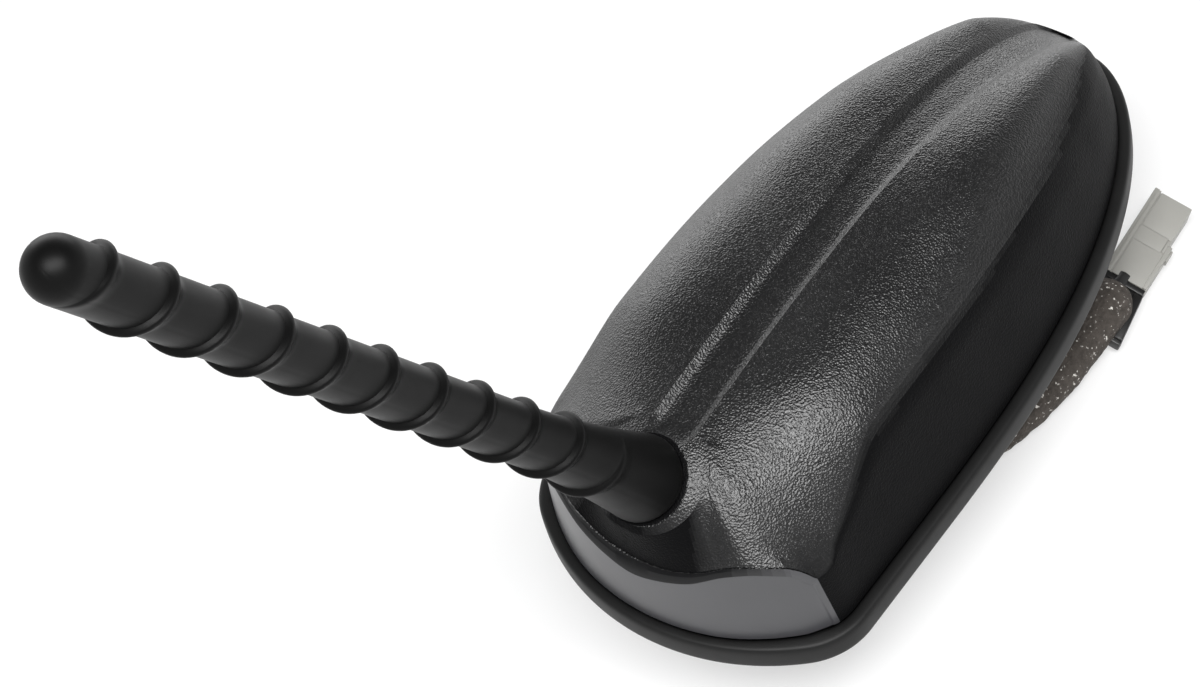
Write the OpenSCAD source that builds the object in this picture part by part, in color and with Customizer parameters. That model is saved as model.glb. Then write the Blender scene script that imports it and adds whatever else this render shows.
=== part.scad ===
// Roof antenna of a car: a low moulded pod on a die-cast base, with a short ribbed
// mast that screws into its rear end and a foam-wrapped pigtail cable.
// x runs forward along the roof, y to the left, z up. The origin is where the axis of
// the roof stud meets the roof, so z = 0 is the underside of the gasket.

/* [Pod] */
// From the stud forward to the gasket's nose
nose_reach = 82; // [78:0.5:88]
// From the stud back to the gasket's rear edge
tail_reach = 79.5; // [78:0.5:84]
// Half of the gasket's width
half_width = 38.5; // [36:0.5:42]
// Radius of the shallow arc across the rear
tail_radius = 52; // [48:1:60]
// Radius of the two rear corners
corner_radius = 16; // [12:0.5:20]
// Where the sides start to close toward the nose
taper_start = -30; // [-40:1:-10]
// Height of the crest above the roof
crest_height = 45.4; // [42:0.1:50]
// Wall of the moulded cover
cover_wall = 2.2; // [1.8:0.1:3]

/* [Crown] */
// Height of the soft edge between flank and crown, at its highest
shoulder_height = 34; // [30:0.5:37]
// How far the flank leans in below that edge
flank_lean = 3.6; // [2:0.2:6]
// Width of the channel along the crest, between its upper edges
channel_width = 10.2; // [8:0.2:14]
// Width of the channel's floor
channel_floor = 7; // [5:0.2:10]
// Depth of the channel
channel_depth = 1; // [0.4:0.1:2]
// Height of the rear panel at the middle
panel_height = 21.8; // [18:0.1:25]
// How much higher the brow rises on each side of the middle
brow_rise = 6; // [0:0.5:9]
// How far the rear panel lies behind the brow
panel_recess = 1; // [0.4:0.1:1.6]

/* [Gasket] */
// Height of the gasket's outer wall
gasket_height = 5.4; // [4:0.1:7]
// How far the gasket stands out past the cover
gasket_lip = 2.8; // [2:0.1:4]
// Thickness of the gasket's web under the base
gasket_web = 1.5; // [1:0.1:2]

/* [Mast] */
// Length of the mast from its foot to its tip
mast_length = 201; // [160:1:240]
// Diameter of the mast between the ribs
mast_d = 11; // [9:0.5:13]
// Diameter over the spiral rib
rib_d = 13.3; // [12:0.1:15]
// Rise of the spiral rib in one turn
rib_pitch = 16.9; // [14:0.1:20]
// How far below the tip the spiral rib starts
rib_tip_gap = 5.8; // [5.6:0.1:12]
// Height above the foot at which the rib ends
rib_foot_gap = 17.75; // [15:0.25:60]
// Diameter of the flared foot
foot_d = 17; // [15:0.2:20]
// Length over which the foot flares
flare_length = 48; // [30:1:60]
// Angle between the mast and the roof
mast_rake = 61.8; // [55:0.1:75]
// Distance from the gasket's rear edge forward to the middle of the mast's foot
foot_inset = 12.5; // [11:0.5:15]
// Height of the middle of the mast's foot
foot_height = 38.6; // [36:0.1:40]

/* [Screw joint of the mast] */
// Diameter of the mast's threaded stud
thread_d = 5; // [4:0.5:6]
// Advance of that thread in one turn
thread_lead = 0.8; // [0.5:0.1:1]
// Length of the stud below the foot
thread_reach = 10.5; // [8:0.5:12]
// Gap around the stud in its socket
thread_gap = 0.06; // [0.02:0.01:0.1]
// Thickness of the sealing washer
seal_thickness = 1.2; // [0.8:0.1:2]

/* [Roof fixing] */
// Diameter of the roof stud
stud_d = 8; // [6:1:10]
// How far the stud reaches below the roof
stud_reach = 24; // [20:1:30]
// How far the base's neck reaches below the roof
neck_reach = 6; // [4:0.5:8]
// Width of the neck, across the roof hole
neck_width = 15; // [14:0.5:18]
// Thickness of the base plate
base_thickness = 3; // [2:0.5:4]

/* [Circuit board] */
// Length of the board
board_length = 92; // [88:1:96]
// Width of the board
board_width = 44; // [42:1:46]
// Thickness of the board
board_thickness = 1.6; // [1:0.2:2]
// Height of the board's underside above the roof
board_height = 10.5; // [9:0.5:12]

/* [Cable] */
// Diameter of the cable
cable_d = 3.2; // [2.6:0.2:4]
// Diameter over the foam wrap
foam_d = 9; // [7:0.5:11]
// Length of the connector's housing
connector_length = 25; // [20:0.5:30]
// Width of the connector's housing
connector_width = 10; // [8:0.5:12]
// Height of the connector's housing
connector_height = 9; // [7:0.5:12]

/* [Hidden] */

// How far a cut reaches past the piece it cuts
over = 1;
// Length of a cut that goes right through
through = 60;
// How deep two bodies of one piece are set into each other
lap = 0.5;

// Plan outline of the gasket, and of anything drawn in from it by an inset.
// Each half runs from the nose back along the -y side to the middle of the rear.
taper_power = 2.5;
taper_root = 0.55;
corner_reach = tail_radius - corner_radius;
corner_turn = asin((half_width - corner_radius) / corner_reach);
tail_centre = tail_radius - tail_reach;
corner_x = tail_centre - corner_reach * cos(corner_turn);
nose_steps = 16;
side_steps = 4;
corner_steps = 8;
tail_steps = 10;
half_steps = nose_steps + side_steps + corner_steps + tail_steps;
ring_steps = 2 * half_steps;

function nose_point(s, inset) =
    let (reach = nose_reach - inset - taper_start,
         part = cos(90 * s / nose_steps))
    [taper_start + reach * part,
     -(half_width - inset) * pow(1 - pow(part, taper_power), taper_root)];
function side_point(s, inset) =
    [taper_start + (corner_x - taper_start) * s / side_steps, inset - half_width];
function corner_point(s, inset) =
    let (turn = 90 + (90 - corner_turn) * s / corner_steps,
         radius = corner_radius - inset)
    [corner_x + radius * cos(turn), corner_radius - half_width - radius * sin(turn)];
function tail_point(s, inset) =
    let (turn = corner_turn * (1 - s / tail_steps), radius = tail_radius - inset)
    [tail_centre - radius * cos(turn), -radius * sin(turn)];
function half_point(i, inset) =
    i < nose_steps ? nose_point(i, inset)
    : i < nose_steps + side_steps ? side_point(i - nose_steps, inset)
    : i < nose_steps + side_steps + corner_steps
        ? corner_point(i - nose_steps - side_steps, inset)
    : tail_point(i - nose_steps - side_steps - corner_steps, inset);
function plan_point(i, inset) =
    i <= half_steps ? half_point(i, inset)
    : let (p = half_point(ring_steps - i, inset)) [p[0], -p[1]];
function plan_loop(inset) = [for (i = [0 : ring_steps - 1]) plan_point(i, inset)];

function lerp(a, b, t) = a + (b - a) * t;

// Heights along the crest
crest_x = 0;
skirt_top = 6;
skirt_lap = 0.2;
nose_end = nose_reach - gasket_lip;
crest_fall = 3.2;
crest_fall_reach = 51.6;
crest_nose_power = 1.75;
crest_nose_root = 0.48;
function crest(x) =
    x > crest_x
    ? skirt_top + (crest_height - skirt_top)
        * pow(1 - pow(min(1, x / nose_end), crest_nose_power), crest_nose_root)
    : crest_height - crest_fall * pow(x / crest_fall_reach, 2);

// Height of the soft edge between flank and crown, falling from behind the middle
// to the skirt at the nose
shoulder_peak_x = -20;
shoulder_nose = 14;
shoulder_nose_power = 2.1;
shoulder_tail_fall = 3;
shoulder_tail_reach = 40;
shoulder_tail_power = 2.2;
function shoulder(x) =
    x > shoulder_peak_x
    ? shoulder_nose + (shoulder_height - shoulder_nose)
        * (1 - pow(min(1, (x - shoulder_peak_x) / (nose_end - shoulder_peak_x)),
            shoulder_nose_power))
    : shoulder_height
        - shoulder_tail_fall
            * pow((shoulder_peak_x - x) / shoulder_tail_reach, shoulder_tail_power);

// The flank ends at a crisp corner partway round each rear corner
crease_step = nose_steps + side_steps + 3;
function tail_part(i) = (i - crease_step) / (half_steps - crease_step);
// A crease runs from the mast's foot to the brow on each side of the rear deck
deck_part = 0.6;
brow_round = 0.4;
brow_dip_from = 0.54;
brow_dip_over = 0.3;
// Height of the rear panel's upper edge: rounded at the corners, level to the deck's
// creases, lower between them
function brow(i) =
    let (s = tail_part(i), dip = min(1, max(0, (s - brow_dip_from) / brow_dip_over)))
    panel_height
        + brow_rise * min(sin(90 * min(1, s / brow_round)), (1 + cos(180 * dip)) / 2);

// Ring around the foot of the mast, where the cover's crown meets the conical seat
foot_back = tail_reach - foot_inset;
seat_ring = 12.2;
seat_ring_rear = 10;
seat_drop = 2.2;
seat_rim = 7.6;
seat_rim_drop = 0.2;
mast_lean = 90 - mast_rake;
rail_stop = nose_steps + side_steps - 1;
rail_turn = 24;
crease_turn = 44;
deck_turn = 75;
function corner_part(i) = max(0, (i - rail_stop) / (crease_step - rail_stop));
function seat_turn(i) =
    let (s = tail_part(i))
    i <= crease_step ? lerp(rail_turn, crease_turn, corner_part(i))
    : s < deck_part ? lerp(crease_turn, deck_turn, s / deck_part)
    : lerp(deck_turn, 180, (s - deck_part) / (1 - deck_part));
function seat_point(i, radius, drop) =
    let (turn = seat_turn(i))
    [-foot_back + radius * cos(turn) * cos(mast_lean) + drop * sin(mast_lean),
     -radius * sin(turn),
     foot_height + radius * cos(turn) * sin(mast_lean) - drop * cos(mast_lean)];

// How far the crown swells above a straight line from its edge to the channel: least
// where the edge comes near the middle, most at the nose
crown_bulge = 4.4;
crown_bulge_nose = 6.6;
bulge_nose_x = 30;
bulge_none_y = 5;
bulge_full_over = 12;
bulge_skew = 0.75;
deck_edge_bulge = 2.2;
deck_hollow = 1.4;
deck_blend = 0.13;
// The brow: a lip over the rear panel that stands out from it and rolls back over its top
lip_swell = 0.4;
lip_height = 3;
lip_inset = 0.8;
lip_step = 0.2;
lip_roll_power = 1.3;
brink_inset = 0.3;
brink_drop = 1;
// The channel's edges and floor narrow where the nose does
rail_nose_share = 0.965;
rail_width_share = 0.55;
floor_width_share = 0.38;
rail_back = seat_point(rail_stop, seat_ring, seat_drop)[0]
    / half_point(rail_stop, gasket_lip + flank_lean)[0];
crown_rows = 6;
edge_row = 4;
rail_row = edge_row + crown_rows;
skin_rows = rail_row + 2;
lean_full_height = 18;
corner_swell = 1.4;
flank_round = 1.4;

// Rows of the cover's skin, from the skirt up to the channel. wall draws it inward.
function swell(t) = sin(180 * pow(t, bulge_skew));
function flank_row(i, row, wall) =
    let (foot = half_point(i, gasket_lip + wall),
         edge_x = half_point(i, gasket_lip)[0],
         lean = flank_lean * min(1, (shoulder(edge_x) - skirt_top) / lean_full_height)
             + corner_swell * corner_part(i),
         edge = half_point(i, gasket_lip + wall + lean),
         edge_z = shoulder(edge_x) - wall,
         rail_x = edge[0] * (edge[0] > 0 ? rail_nose_share : rail_back),
         rail_y = -min(channel_width / 2, abs(edge[1]) * rail_width_share),
         floor_y = -min(channel_floor / 2, abs(edge[1]) * floor_width_share),
         rail = i <= rail_stop ? [rail_x, rail_y, crest(rail_x) - wall]
             : seat_point(i, seat_ring - wall, seat_drop + wall),
         bulge = lerp(crown_bulge, crown_bulge_nose, min(1, max(0, edge[0] / bulge_nose_x)))
             * min(1, max(0, abs(edge[1]) - bulge_none_y) / bulge_full_over),
         up = row / edge_row,
         t = (row - edge_row) / crown_rows)
    row == 0 ? [foot[0], foot[1], skirt_top - skirt_lap]
    : row <= edge_row
        ? [lerp(foot[0], edge[0], up * up), lerp(foot[1], edge[1], pow(up, flank_round)),
           lerp(skirt_top, edge_z, up)]
    : row <= rail_row
        ? [lerp(edge[0], rail[0], t), lerp(edge[1], rail[1], t),
           lerp(edge_z, rail[2], t) + bulge * swell(t)]
    : i <= rail_stop ? [rail_x, floor_y, rail[2] - channel_depth]
    : seat_point(i, seat_rim, seat_rim_drop + wall);
corner_rim = shoulder(half_point(crease_step, gasket_lip)[0]);
function tail_bulge(s) =
    s <= deck_part ? lerp(crown_bulge, deck_edge_bulge, s / deck_part)
    : lerp(deck_edge_bulge, -deck_hollow, min(1, (s - deck_part) / deck_blend));
function tail_row(i, row, wall) =
    let (panel = half_point(i, gasket_lip + wall + panel_recess),
         round = min(1, tail_part(i) / brow_round),
         lip = half_point(i, gasket_lip + wall - lip_swell * sin(90 * round)),
         brink = half_point(i, gasket_lip + wall + brink_inset),
         back = half_point(i, gasket_lip + wall
             + lerp(flank_lean + corner_swell, lip_inset, pow(round, lip_roll_power))),
         top = brow(i) - wall,
         rim = lerp(corner_rim - wall, top + lip_height, round),
         rear = max(0, (tail_part(i) - deck_part) / (1 - deck_part)),
         seat = seat_point(i, lerp(seat_ring, seat_ring_rear, rear) - wall, seat_drop + wall),
         t = (row - edge_row) / crown_rows)
    row == 0 ? [panel[0], panel[1], skirt_top - skirt_lap]
    : row == 1 ? [panel[0], panel[1], top - lip_step]
    : row == 2 ? [lip[0], lip[1], top + lip_step]
    : row == 3 ? [brink[0], brink[1], top + lip_height - brink_drop]
    : row <= rail_row
        ? [lerp(back[0], seat[0], t), lerp(back[1], seat[1], t),
           lerp(rim, seat[2], t) + tail_bulge(tail_part(i)) * swell(t)]
    : seat_point(i, seat_rim, seat_rim_drop + wall);
function skin_half(i, row, wall) =
    i <= crease_step ? flank_row(i, row, wall) : tail_row(i, row, wall);
function skin_point(i, row, wall) =
    i <= half_steps ? skin_half(i, row, wall)
    : let (p = skin_half(ring_steps - i, row, wall)) [p[0], -p[1], p[2]];

// A closed skin through stacked rings, its last ring closed across the channel
module ring_skin(rings) {
    n = len(rings[0]);
    m = len(rings);
    half = n / 2;
    sides = [for (j = [0 : m - 2]) for (i = [0 : n - 1])
        let (a = j * n + i, b = j * n + (i + 1) % n, c = b + n, d = a + n)
        each [[a, b, c], [a, c, d]]];
    last = (m - 1) * n;
    top = [for (i = [0 : half - 1])
        let (a = last + i, b = last + i + 1,
             c = last + (n - i - 1) % n, d = last + (n - i) % n)
        each concat(b == c ? [] : [[a, b, c]], a == d ? [] : [[a, c, d]])];
    under = [for (i = [0 : half - 1])
        let (a = i, b = i + 1, c = (n - i - 1) % n, d = (n - i) % n)
        each concat(b == c ? [] : [[a, c, b]], a == d ? [] : [[a, d, c]])];
    polyhedron(concat([for (r = rings) each r]), concat(sides, top, under), convexity = 8);
}

module cover_skin(wall, lower) {
    ring_skin([for (row = [0 : skin_rows - 1]) [for (i = [0 : ring_steps - 1])
        skin_point(i, row, wall) - (row == 0 ? [0, 0, lower] : [0, 0, 0])]]);
}

// Places its children on the mast's axis, standing on the middle of the foot
module on_mast() {
    translate([-foot_back, 0, foot_height]) rotate([0, -mast_lean, 0]) children();
}

// Cover screws stand on pads of the base and enter posts inside the cover
post_d = 7;
post_nose_x = 52;
post_nose_y = 15;
post_tail_x = -48;
post_tail_y = 26;
post_foot = 6;
cover_screw_d = 3;
cover_screw_reach = 10;
module at_posts() {
    for (side = [-1, 1]) {
        translate([post_nose_x, side * post_nose_y, 0]) children();
        translate([post_tail_x, side * post_tail_y, 0]) children();
    }
}

// Seat of the mast, with the brass socket through it
seat_gap = 0.8;
seat_boss_reach = 9;
seat_boss_wall = 1;
socket_d = 10;
socket_flange_d = 13.5;
socket_flange = 1.5;
socket_reach = 17;
socket_nut_height = 4;
part_gap = 0.1;
// A tongue under the cover's skirt stands inside the gasket's wall
tongue_gap = 0.6;
tongue_lap = 0.4;
tongue_rise = 0.2;
tongue_outer = gasket_lip + tongue_gap;
tongue_inner = gasket_lip + cover_wall + tongue_lap;
tongue_foot = gasket_web + tongue_rise;
post_skin_lap = 0.4;
module cover() {
    color([0.09, 0.09, 0.1]) difference() {
        union() {
            difference() {
                cover_skin(0, 0);
                cover_skin(cover_wall, 1);
            }
            difference() {
                translate([0, 0, tongue_foot]) linear_extrude(skirt_top + lap - tongue_foot)
                    polygon(plan_loop(tongue_outer));
                linear_extrude(through) polygon(plan_loop(tongue_inner));
            }
            intersection() {
                cover_skin(post_skin_lap, 0);
                at_posts() translate([0, 0, post_foot])
                    cylinder(h = through, d = post_d, $fn = 32);
            }
            on_mast() translate([0, 0, -seat_boss_reach])
                cylinder(h = seat_boss_reach - seal_thickness, d = foot_d + seat_boss_wall, $fn = 48);
        }
        on_mast() translate([0, 0, -through / 2])
            cylinder(h = through, d = socket_d + 2 * part_gap, $fn = 48);
        on_mast() translate([0, 0, -seal_thickness - socket_flange])
            cylinder(h = through, d = socket_flange_d + 2 * part_gap, $fn = 48);
        on_mast() translate([0, 0, -seal_thickness])
            cylinder(h = through, d = foot_d + 2 * seat_gap, $fn = 48);
        at_posts() cylinder(h = post_foot + cover_screw_reach + over, d = cover_screw_d, $fn = 24);
    }
}

// The gasket's upper outer edge is rounded in two steps
gasket_round = 1;
gasket_round_step = 0.4;
cover_gap = 0.3;
neck_gap = 0.4;
module gasket() {
    color([0.07, 0.07, 0.07]) difference() {
        union() {
            linear_extrude(gasket_height - gasket_round) polygon(plan_loop(0));
            translate([0, 0, gasket_height - gasket_round])
                linear_extrude(gasket_round - gasket_round_step)
                polygon(plan_loop(gasket_round_step));
            translate([0, 0, gasket_height - gasket_round_step])
                linear_extrude(gasket_round_step) polygon(plan_loop(gasket_round));
        }
        translate([0, 0, gasket_web]) linear_extrude(through)
            polygon(plan_loop(gasket_lip + cover_gap));
        translate([0, 0, -over]) linear_extrude(through) neck_outline(neck_gap);
    }
}

// The base's neck reaches through the roof from behind the stud to the cable
neck_front = 9;
neck_back = 34;
neck_steps = 12;
function neck_end(x, turn, gap) = [for (k = [0 : neck_steps])
    let (a = turn + 180 * k / neck_steps)
    [x + (neck_width / 2 + gap) * cos(a), (neck_width / 2 + gap) * sin(a)]];
module neck_outline(gap) {
    polygon(concat(neck_end(neck_front - neck_width / 2, -90, gap),
        neck_end(-neck_back + neck_width / 2, 90, gap)));
}

// Base plate, with pads for the cover screws, posts for the board and low ribs
base_inset = 6.2;
base_top = gasket_web + base_thickness;
grommet_x = -24;
grommet_d = 10;
head_height = 1.8;
head_d = 6;
stud_pad_top = 6;
stud_pad_d = 18;
board_post_d = 6;
board_screw_d = 2.2;
board_hole_x = 42;
board_hole_y = 18;
base_rib_width = 1.6;
base_rib_height = 2.5;
hole_gap = 0.4;
module at_board_holes() {
    for (end = [-1, 1]) for (side = [-1, 1])
        translate([end * board_hole_x, side * board_hole_y, 0]) children();
}
module base_plate() {
    color([0.62, 0.63, 0.64]) difference() {
        union() {
            translate([0, 0, gasket_web]) linear_extrude(base_thickness)
                polygon(plan_loop(base_inset));
            translate([0, 0, -neck_reach]) linear_extrude(neck_reach + gasket_web + lap)
                neck_outline(0);
            at_posts() translate([0, 0, base_top - lap])
                cylinder(h = post_foot - base_top + lap, d = post_d, $fn = 32);
            at_board_holes() translate([0, 0, base_top - lap])
                cylinder(h = board_height - base_top + lap, d = board_post_d, $fn = 32);
            translate([0, 0, base_top - lap])
                cylinder(h = stud_pad_top - base_top + lap, d = stud_pad_d, $fn = 48);
            for (side = [-1, 1]) {
                translate([-board_hole_x, side * board_hole_y - base_rib_width / 2, base_top - lap])
                    cube([2 * board_hole_x, base_rib_width, base_rib_height]);
                translate([side * board_hole_x - base_rib_width / 2, -board_hole_y, base_top - lap])
                    cube([base_rib_width, 2 * board_hole_y, base_rib_height]);
            }
        }
        translate([0, 0, -neck_reach - over]) cylinder(h = through, d = stud_d, $fn = 48);
        translate([grommet_x, 0, -neck_reach - over])
            cylinder(h = through, d = grommet_d, $fn = 48);
        at_posts() cylinder(h = through, d = cover_screw_d + hole_gap, $fn = 24);
        at_posts() cylinder(h = gasket_web + head_height, d = head_d + hole_gap, $fn = 32);
        at_board_holes() translate([0, 0, base_top - over])
            cylinder(h = through, d = board_screw_d, $fn = 24);
    }
}

module hex_bar(width, height) {
    cylinder(h = height, r = width / sqrt(3), $fn = 6);
}

stud_hex = 13;
stud_head = 3.6;
stud_chamfer = 1;
module roof_stud() {
    color([0.7, 0.71, 0.72]) {
        translate([0, 0, -stud_reach + stud_chamfer])
            cylinder(h = stud_reach - stud_chamfer + stud_pad_top, d = stud_d, $fn = 48);
        translate([0, 0, -stud_reach])
            cylinder(h = stud_chamfer, d1 = stud_d - 2 * stud_chamfer, d2 = stud_d, $fn = 48);
        translate([0, 0, stud_pad_top]) hex_bar(stud_hex, stud_head);
    }
}

// Toothed washer, slotted to pass the cable
washer_d = 30;
washer_thickness = 1.6;
washer_slot_x = 11;
washer_slot_width = 18;
claw_count = 8;
claw_rise = 3.5;
claw_foot = 6;
claw_tip = 1.2;
module claw_washer() {
    color([0.66, 0.67, 0.66]) difference() {
        union() {
            translate([0, 0, -neck_reach - washer_thickness])
                cylinder(h = washer_thickness, d = washer_d, $fn = 64);
            for (k = [0 : claw_count - 1])
                rotate([0, 0, (k + 0.5) * 360 / claw_count])
                translate([washer_d / 2 - washer_thickness, 0, -neck_reach - lap])
                rotate([90, 0, 90]) linear_extrude(washer_thickness)
                polygon([[-claw_foot / 2, 0], [claw_foot / 2, 0],
                    [claw_tip / 2, claw_rise + lap], [-claw_tip / 2, claw_rise + lap]]);
        }
        translate([0, 0, -neck_reach - washer_thickness - over])
            cylinder(h = through, d = stud_d + hole_gap, $fn = 48);
        translate([-washer_slot_x - through, -washer_slot_width / 2, -through / 2])
            cube([through, washer_slot_width, through]);
    }
}

// Nut with both faces turned to a round chamfer
nut_height = 6.5;
nut_corner = 7.6;
nut_face_r = 6.6;
nut_chamfer = 0.9;
module roof_nut() {
    color([0.72, 0.73, 0.72])
    translate([0, 0, -neck_reach - washer_thickness - nut_height]) difference() {
        intersection() {
            hex_bar(stud_hex, nut_height);
            rotate_extrude($fn = 64)
                polygon([[0, 0], [nut_face_r, 0], [nut_corner, nut_chamfer],
                    [nut_corner, nut_height - nut_chamfer], [nut_face_r, nut_height],
                    [0, nut_height]]);
        }
        translate([0, 0, -over]) cylinder(h = nut_height + 2 * over, d = stud_d, $fn = 48);
    }
}

// The spiral rib: steep toward the tip, running out gently toward the foot
rib_start = mast_length - rib_tip_gap;
rib_start_turn = 180;
rib_facets = 24;
rib_count = floor((rib_start - rib_foot_gap) / rib_pitch * rib_facets + 0.5);
rib_sink = 1;
rib_end_sink = 0.3;
rib_crest = (rib_d - mast_d) / 2;
rib_section = [[-rib_sink, 1.15], [0.15, 1.1], [0.8 * rib_crest, 0.75], [rib_crest, 0.2],
    [0.86 * rib_crest, -0.5], [0.3 * rib_crest, -1.7], [-0.35, -3.4], [-rib_sink, -3.4]];
function rib_point(p, k) =
    let (turn = rib_start_turn - 360 * k / rib_facets,
         fade = min(1, min(k, rib_count - k) / (rib_facets / 2)),
         r = mast_d / 2 + (p[0] < 0 ? p[0] : p[0] * fade - rib_end_sink * (1 - fade)))
    [r * cos(turn), r * sin(turn), rib_start - rib_pitch * k / rib_facets + p[1]];
module spiral_rib() {
    n = len(rib_section);
    points = [for (k = [0 : rib_count]) for (p = rib_section) rib_point(p, k)];
    walls = [for (k = [0 : rib_count - 1]) for (j = [0 : n - 1])
        let (a = k * n + j, b = k * n + (j + 1) % n, c = b + n, d = a + n)
        each [[a, b, c], [a, c, d]]];
    ends = [[for (j = [n - 1 : -1 : 0]) j], [for (j = [0 : n - 1]) rib_count * n + j]];
    polyhedron(points, concat(walls, ends), convexity = 10);
}

foot_edge = 1;
foot_chamfer = 0.4;
flare_power = 1.7;
flare_steps = 8;
thread_depth = 14;
core_sides = 36;
tip_steps = 8;
mast_profile = concat(
    [[foot_d / 2 - foot_chamfer, 0], [foot_d / 2, foot_chamfer], [foot_d / 2, foot_edge]],
    [for (k = [1 : flare_steps]) let (t = k / flare_steps)
        [mast_d / 2 + (foot_d - mast_d) / 2 * pow(1 - t, flare_power),
         foot_edge + (flare_length - foot_edge) * t]],
    [for (k = [0 : tip_steps - 1]) let (turn = 90 * k / tip_steps)
        [mast_d / 2 * cos(turn), mast_length - mast_d / 2 + mast_d / 2 * sin(turn)]]);
// The rod turned from that profile, closed flat at the foot and in a point at the tip
module mast_core() {
    n = core_sides;
    m = len(mast_profile);
    points = [for (p = mast_profile) for (j = [0 : n - 1])
        [p[0] * cos(360 * j / n), p[0] * sin(360 * j / n), p[1]]];
    walls = [for (k = [0 : m - 2]) for (j = [0 : n - 1])
        let (a = k * n + j, b = k * n + (j + 1) % n)
        [a, a + n, b + n, b]];
    tip = [for (j = [0 : n - 1]) [(m - 1) * n + j, m * n, (m - 1) * n + (j + 1) % n]];
    foot = [[for (j = [0 : n - 1]) j]];
    polyhedron(concat(points, [[0, 0, mast_length]]), concat(walls, tip, foot), convexity = 4);
}
module mast() {
    color([0.08, 0.08, 0.085]) on_mast() difference() {
        union() {
            mast_core();
            spiral_rib();
        }
        translate([0, 0, -over]) cylinder(h = thread_depth + over, d = thread_d, $fn = 32);
    }
}

// A little more than the depth of the thread
thread_chamfer = 0.75 * thread_lead;
module mast_stud() {
    color([0.75, 0.62, 0.36]) on_mast() {
        translate([0, 0, -thread_reach + thread_chamfer])
            cylinder(h = thread_reach - thread_chamfer + thread_depth, d = thread_d, $fn = 48);
        translate([0, 0, -thread_reach])
            cylinder(h = thread_chamfer, d1 = thread_d - 2 * thread_chamfer, d2 = thread_d, $fn = 48);
    }
}

seal_inset = 0.6;
seal_gap = 0.3;
seal_d = foot_d - 2 * seal_inset;
module mast_seal() {
    color([0.05, 0.05, 0.05]) on_mast() translate([0, 0, -seal_thickness]) difference() {
        cylinder(h = seal_thickness, d = seal_d, $fn = 64);
        translate([0, 0, -over])
            cylinder(h = seal_thickness + 2 * over, d = thread_d + 2 * seal_gap, $fn = 48);
    }
}

thread_room = 1.5;
module mast_socket() {
    color([0.78, 0.64, 0.36]) on_mast() difference() {
        union() {
            translate([0, 0, -seal_thickness - socket_flange])
                cylinder(h = socket_flange, d = socket_flange_d, $fn = 48);
            translate([0, 0, -socket_reach])
                cylinder(h = socket_reach - seal_thickness, d = socket_d, $fn = 48);
        }
        translate([0, 0, -thread_reach - thread_room])
            cylinder(h = through, d = thread_d + 2 * thread_gap, $fn = 48);
    }
}

socket_nut_hex = 15;
module socket_nut() {
    color([0.72, 0.73, 0.72]) on_mast()
    translate([0, 0, -seat_boss_reach - socket_nut_height]) difference() {
        hex_bar(socket_nut_hex, socket_nut_height);
        translate([0, 0, -over])
            cylinder(h = socket_nut_height + 2 * over, d = socket_d, $fn = 48);
    }
}

// A flat strip of even thickness bent along the points of a path
function strip_side(path, away) =
    [for (k = [0 : len(path) - 1])
        let (a = path[max(0, k - 1)], b = path[min(len(path) - 1, k + 1)],
             d = (b - a) / norm(b - a))
        path[k] + away * [-d[1], d[0]]];
module bent_strip(path, thickness, width) {
    one = strip_side(path, thickness / 2);
    other = strip_side(path, -thickness / 2);
    rotate([90, 0, 0]) translate([0, 0, -width / 2]) linear_extrude(width)
        polygon(concat(one, [for (k = [len(other) - 1 : -1 : 0]) other[k]]));
}

board_top = board_height + board_thickness;
spring_thickness = 0.4;
spring_width = 5;
// Bends of the spring on the board, as x and height above it, and then under the
// socket's end, as the place across that end and the distance from it
spring_rise = [[-36, 0], [-43, 0], [-44.5, 0.8], [-46, 3], [-49, 7]];
spring_touch = [[6.5, 4], [4, 1], [2.5, 0.3], [-2, 0.3], [-3.5, 1.2]];
function below_socket(p) =
    [-foot_back + (socket_reach + p[1]) * sin(mast_lean) + p[0] * cos(mast_lean),
     foot_height - (socket_reach + p[1]) * cos(mast_lean) + p[0] * sin(mast_lean)];
module contact_spring() {
    lift = board_top + spring_thickness / 2;
    color([0.8, 0.66, 0.4])
        bent_strip(concat([for (p = spring_rise) p + [0, lift]],
            [for (p = spring_touch) below_socket(p)]), spring_thickness, spring_width);
}

module circuit_board() {
    color([0.1, 0.32, 0.2]) difference() {
        translate([-board_length / 2, -board_width / 2, board_height])
            cube([board_length, board_width, board_thickness]);
        at_board_holes() cylinder(h = through, d = board_screw_d + hole_gap, $fn = 24);
    }
}

// Tin can over the receiver, open below, with two rows of vent holes
can_x = -12;
can_size = [30, 26, 4.5];
can_wall = 0.3;
can_hole_d = 1.6;
can_hole_count = 5;
can_hole_pitch = 5;
can_hole_edge = 5;
module shield_can() {
    color([0.75, 0.76, 0.76])
    translate([can_x - can_size[0] / 2, -can_size[1] / 2, board_top]) difference() {
        cube(can_size);
        translate([can_wall, can_wall, -over])
            cube(can_size + [-2 * can_wall, -2 * can_wall, over - can_wall]);
        for (k = [1 : can_hole_count]) for (y = [can_hole_edge, can_size[1] - can_hole_edge])
            translate([can_hole_pitch * k, y, 0]) cylinder(h = through, d = can_hole_d, $fn = 16);
    }
}

// Ceramic tile with a silvered face and its feed pin
patch_x = 24;
patch_width = 25;
patch_height = 4;
patch_border = 2.5;
patch_foil = 0.1;
patch_pin_x = 2;
patch_pin_d = 2;
patch_pin_height = 0.6;
module patch_antenna() {
    foil_width = patch_width - 2 * patch_border;
    color([0.85, 0.82, 0.74]) translate([patch_x, 0, board_top]) {
        translate([-patch_width / 2, -patch_width / 2, 0])
            cube([patch_width, patch_width, patch_height]);
        translate([-foil_width / 2, -foil_width / 2, patch_height])
            cube([foil_width, foil_width, patch_foil]);
        translate([patch_pin_x, 0, patch_height])
            cylinder(h = patch_pin_height, d = patch_pin_d, $fn = 24);
    }
}

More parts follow.
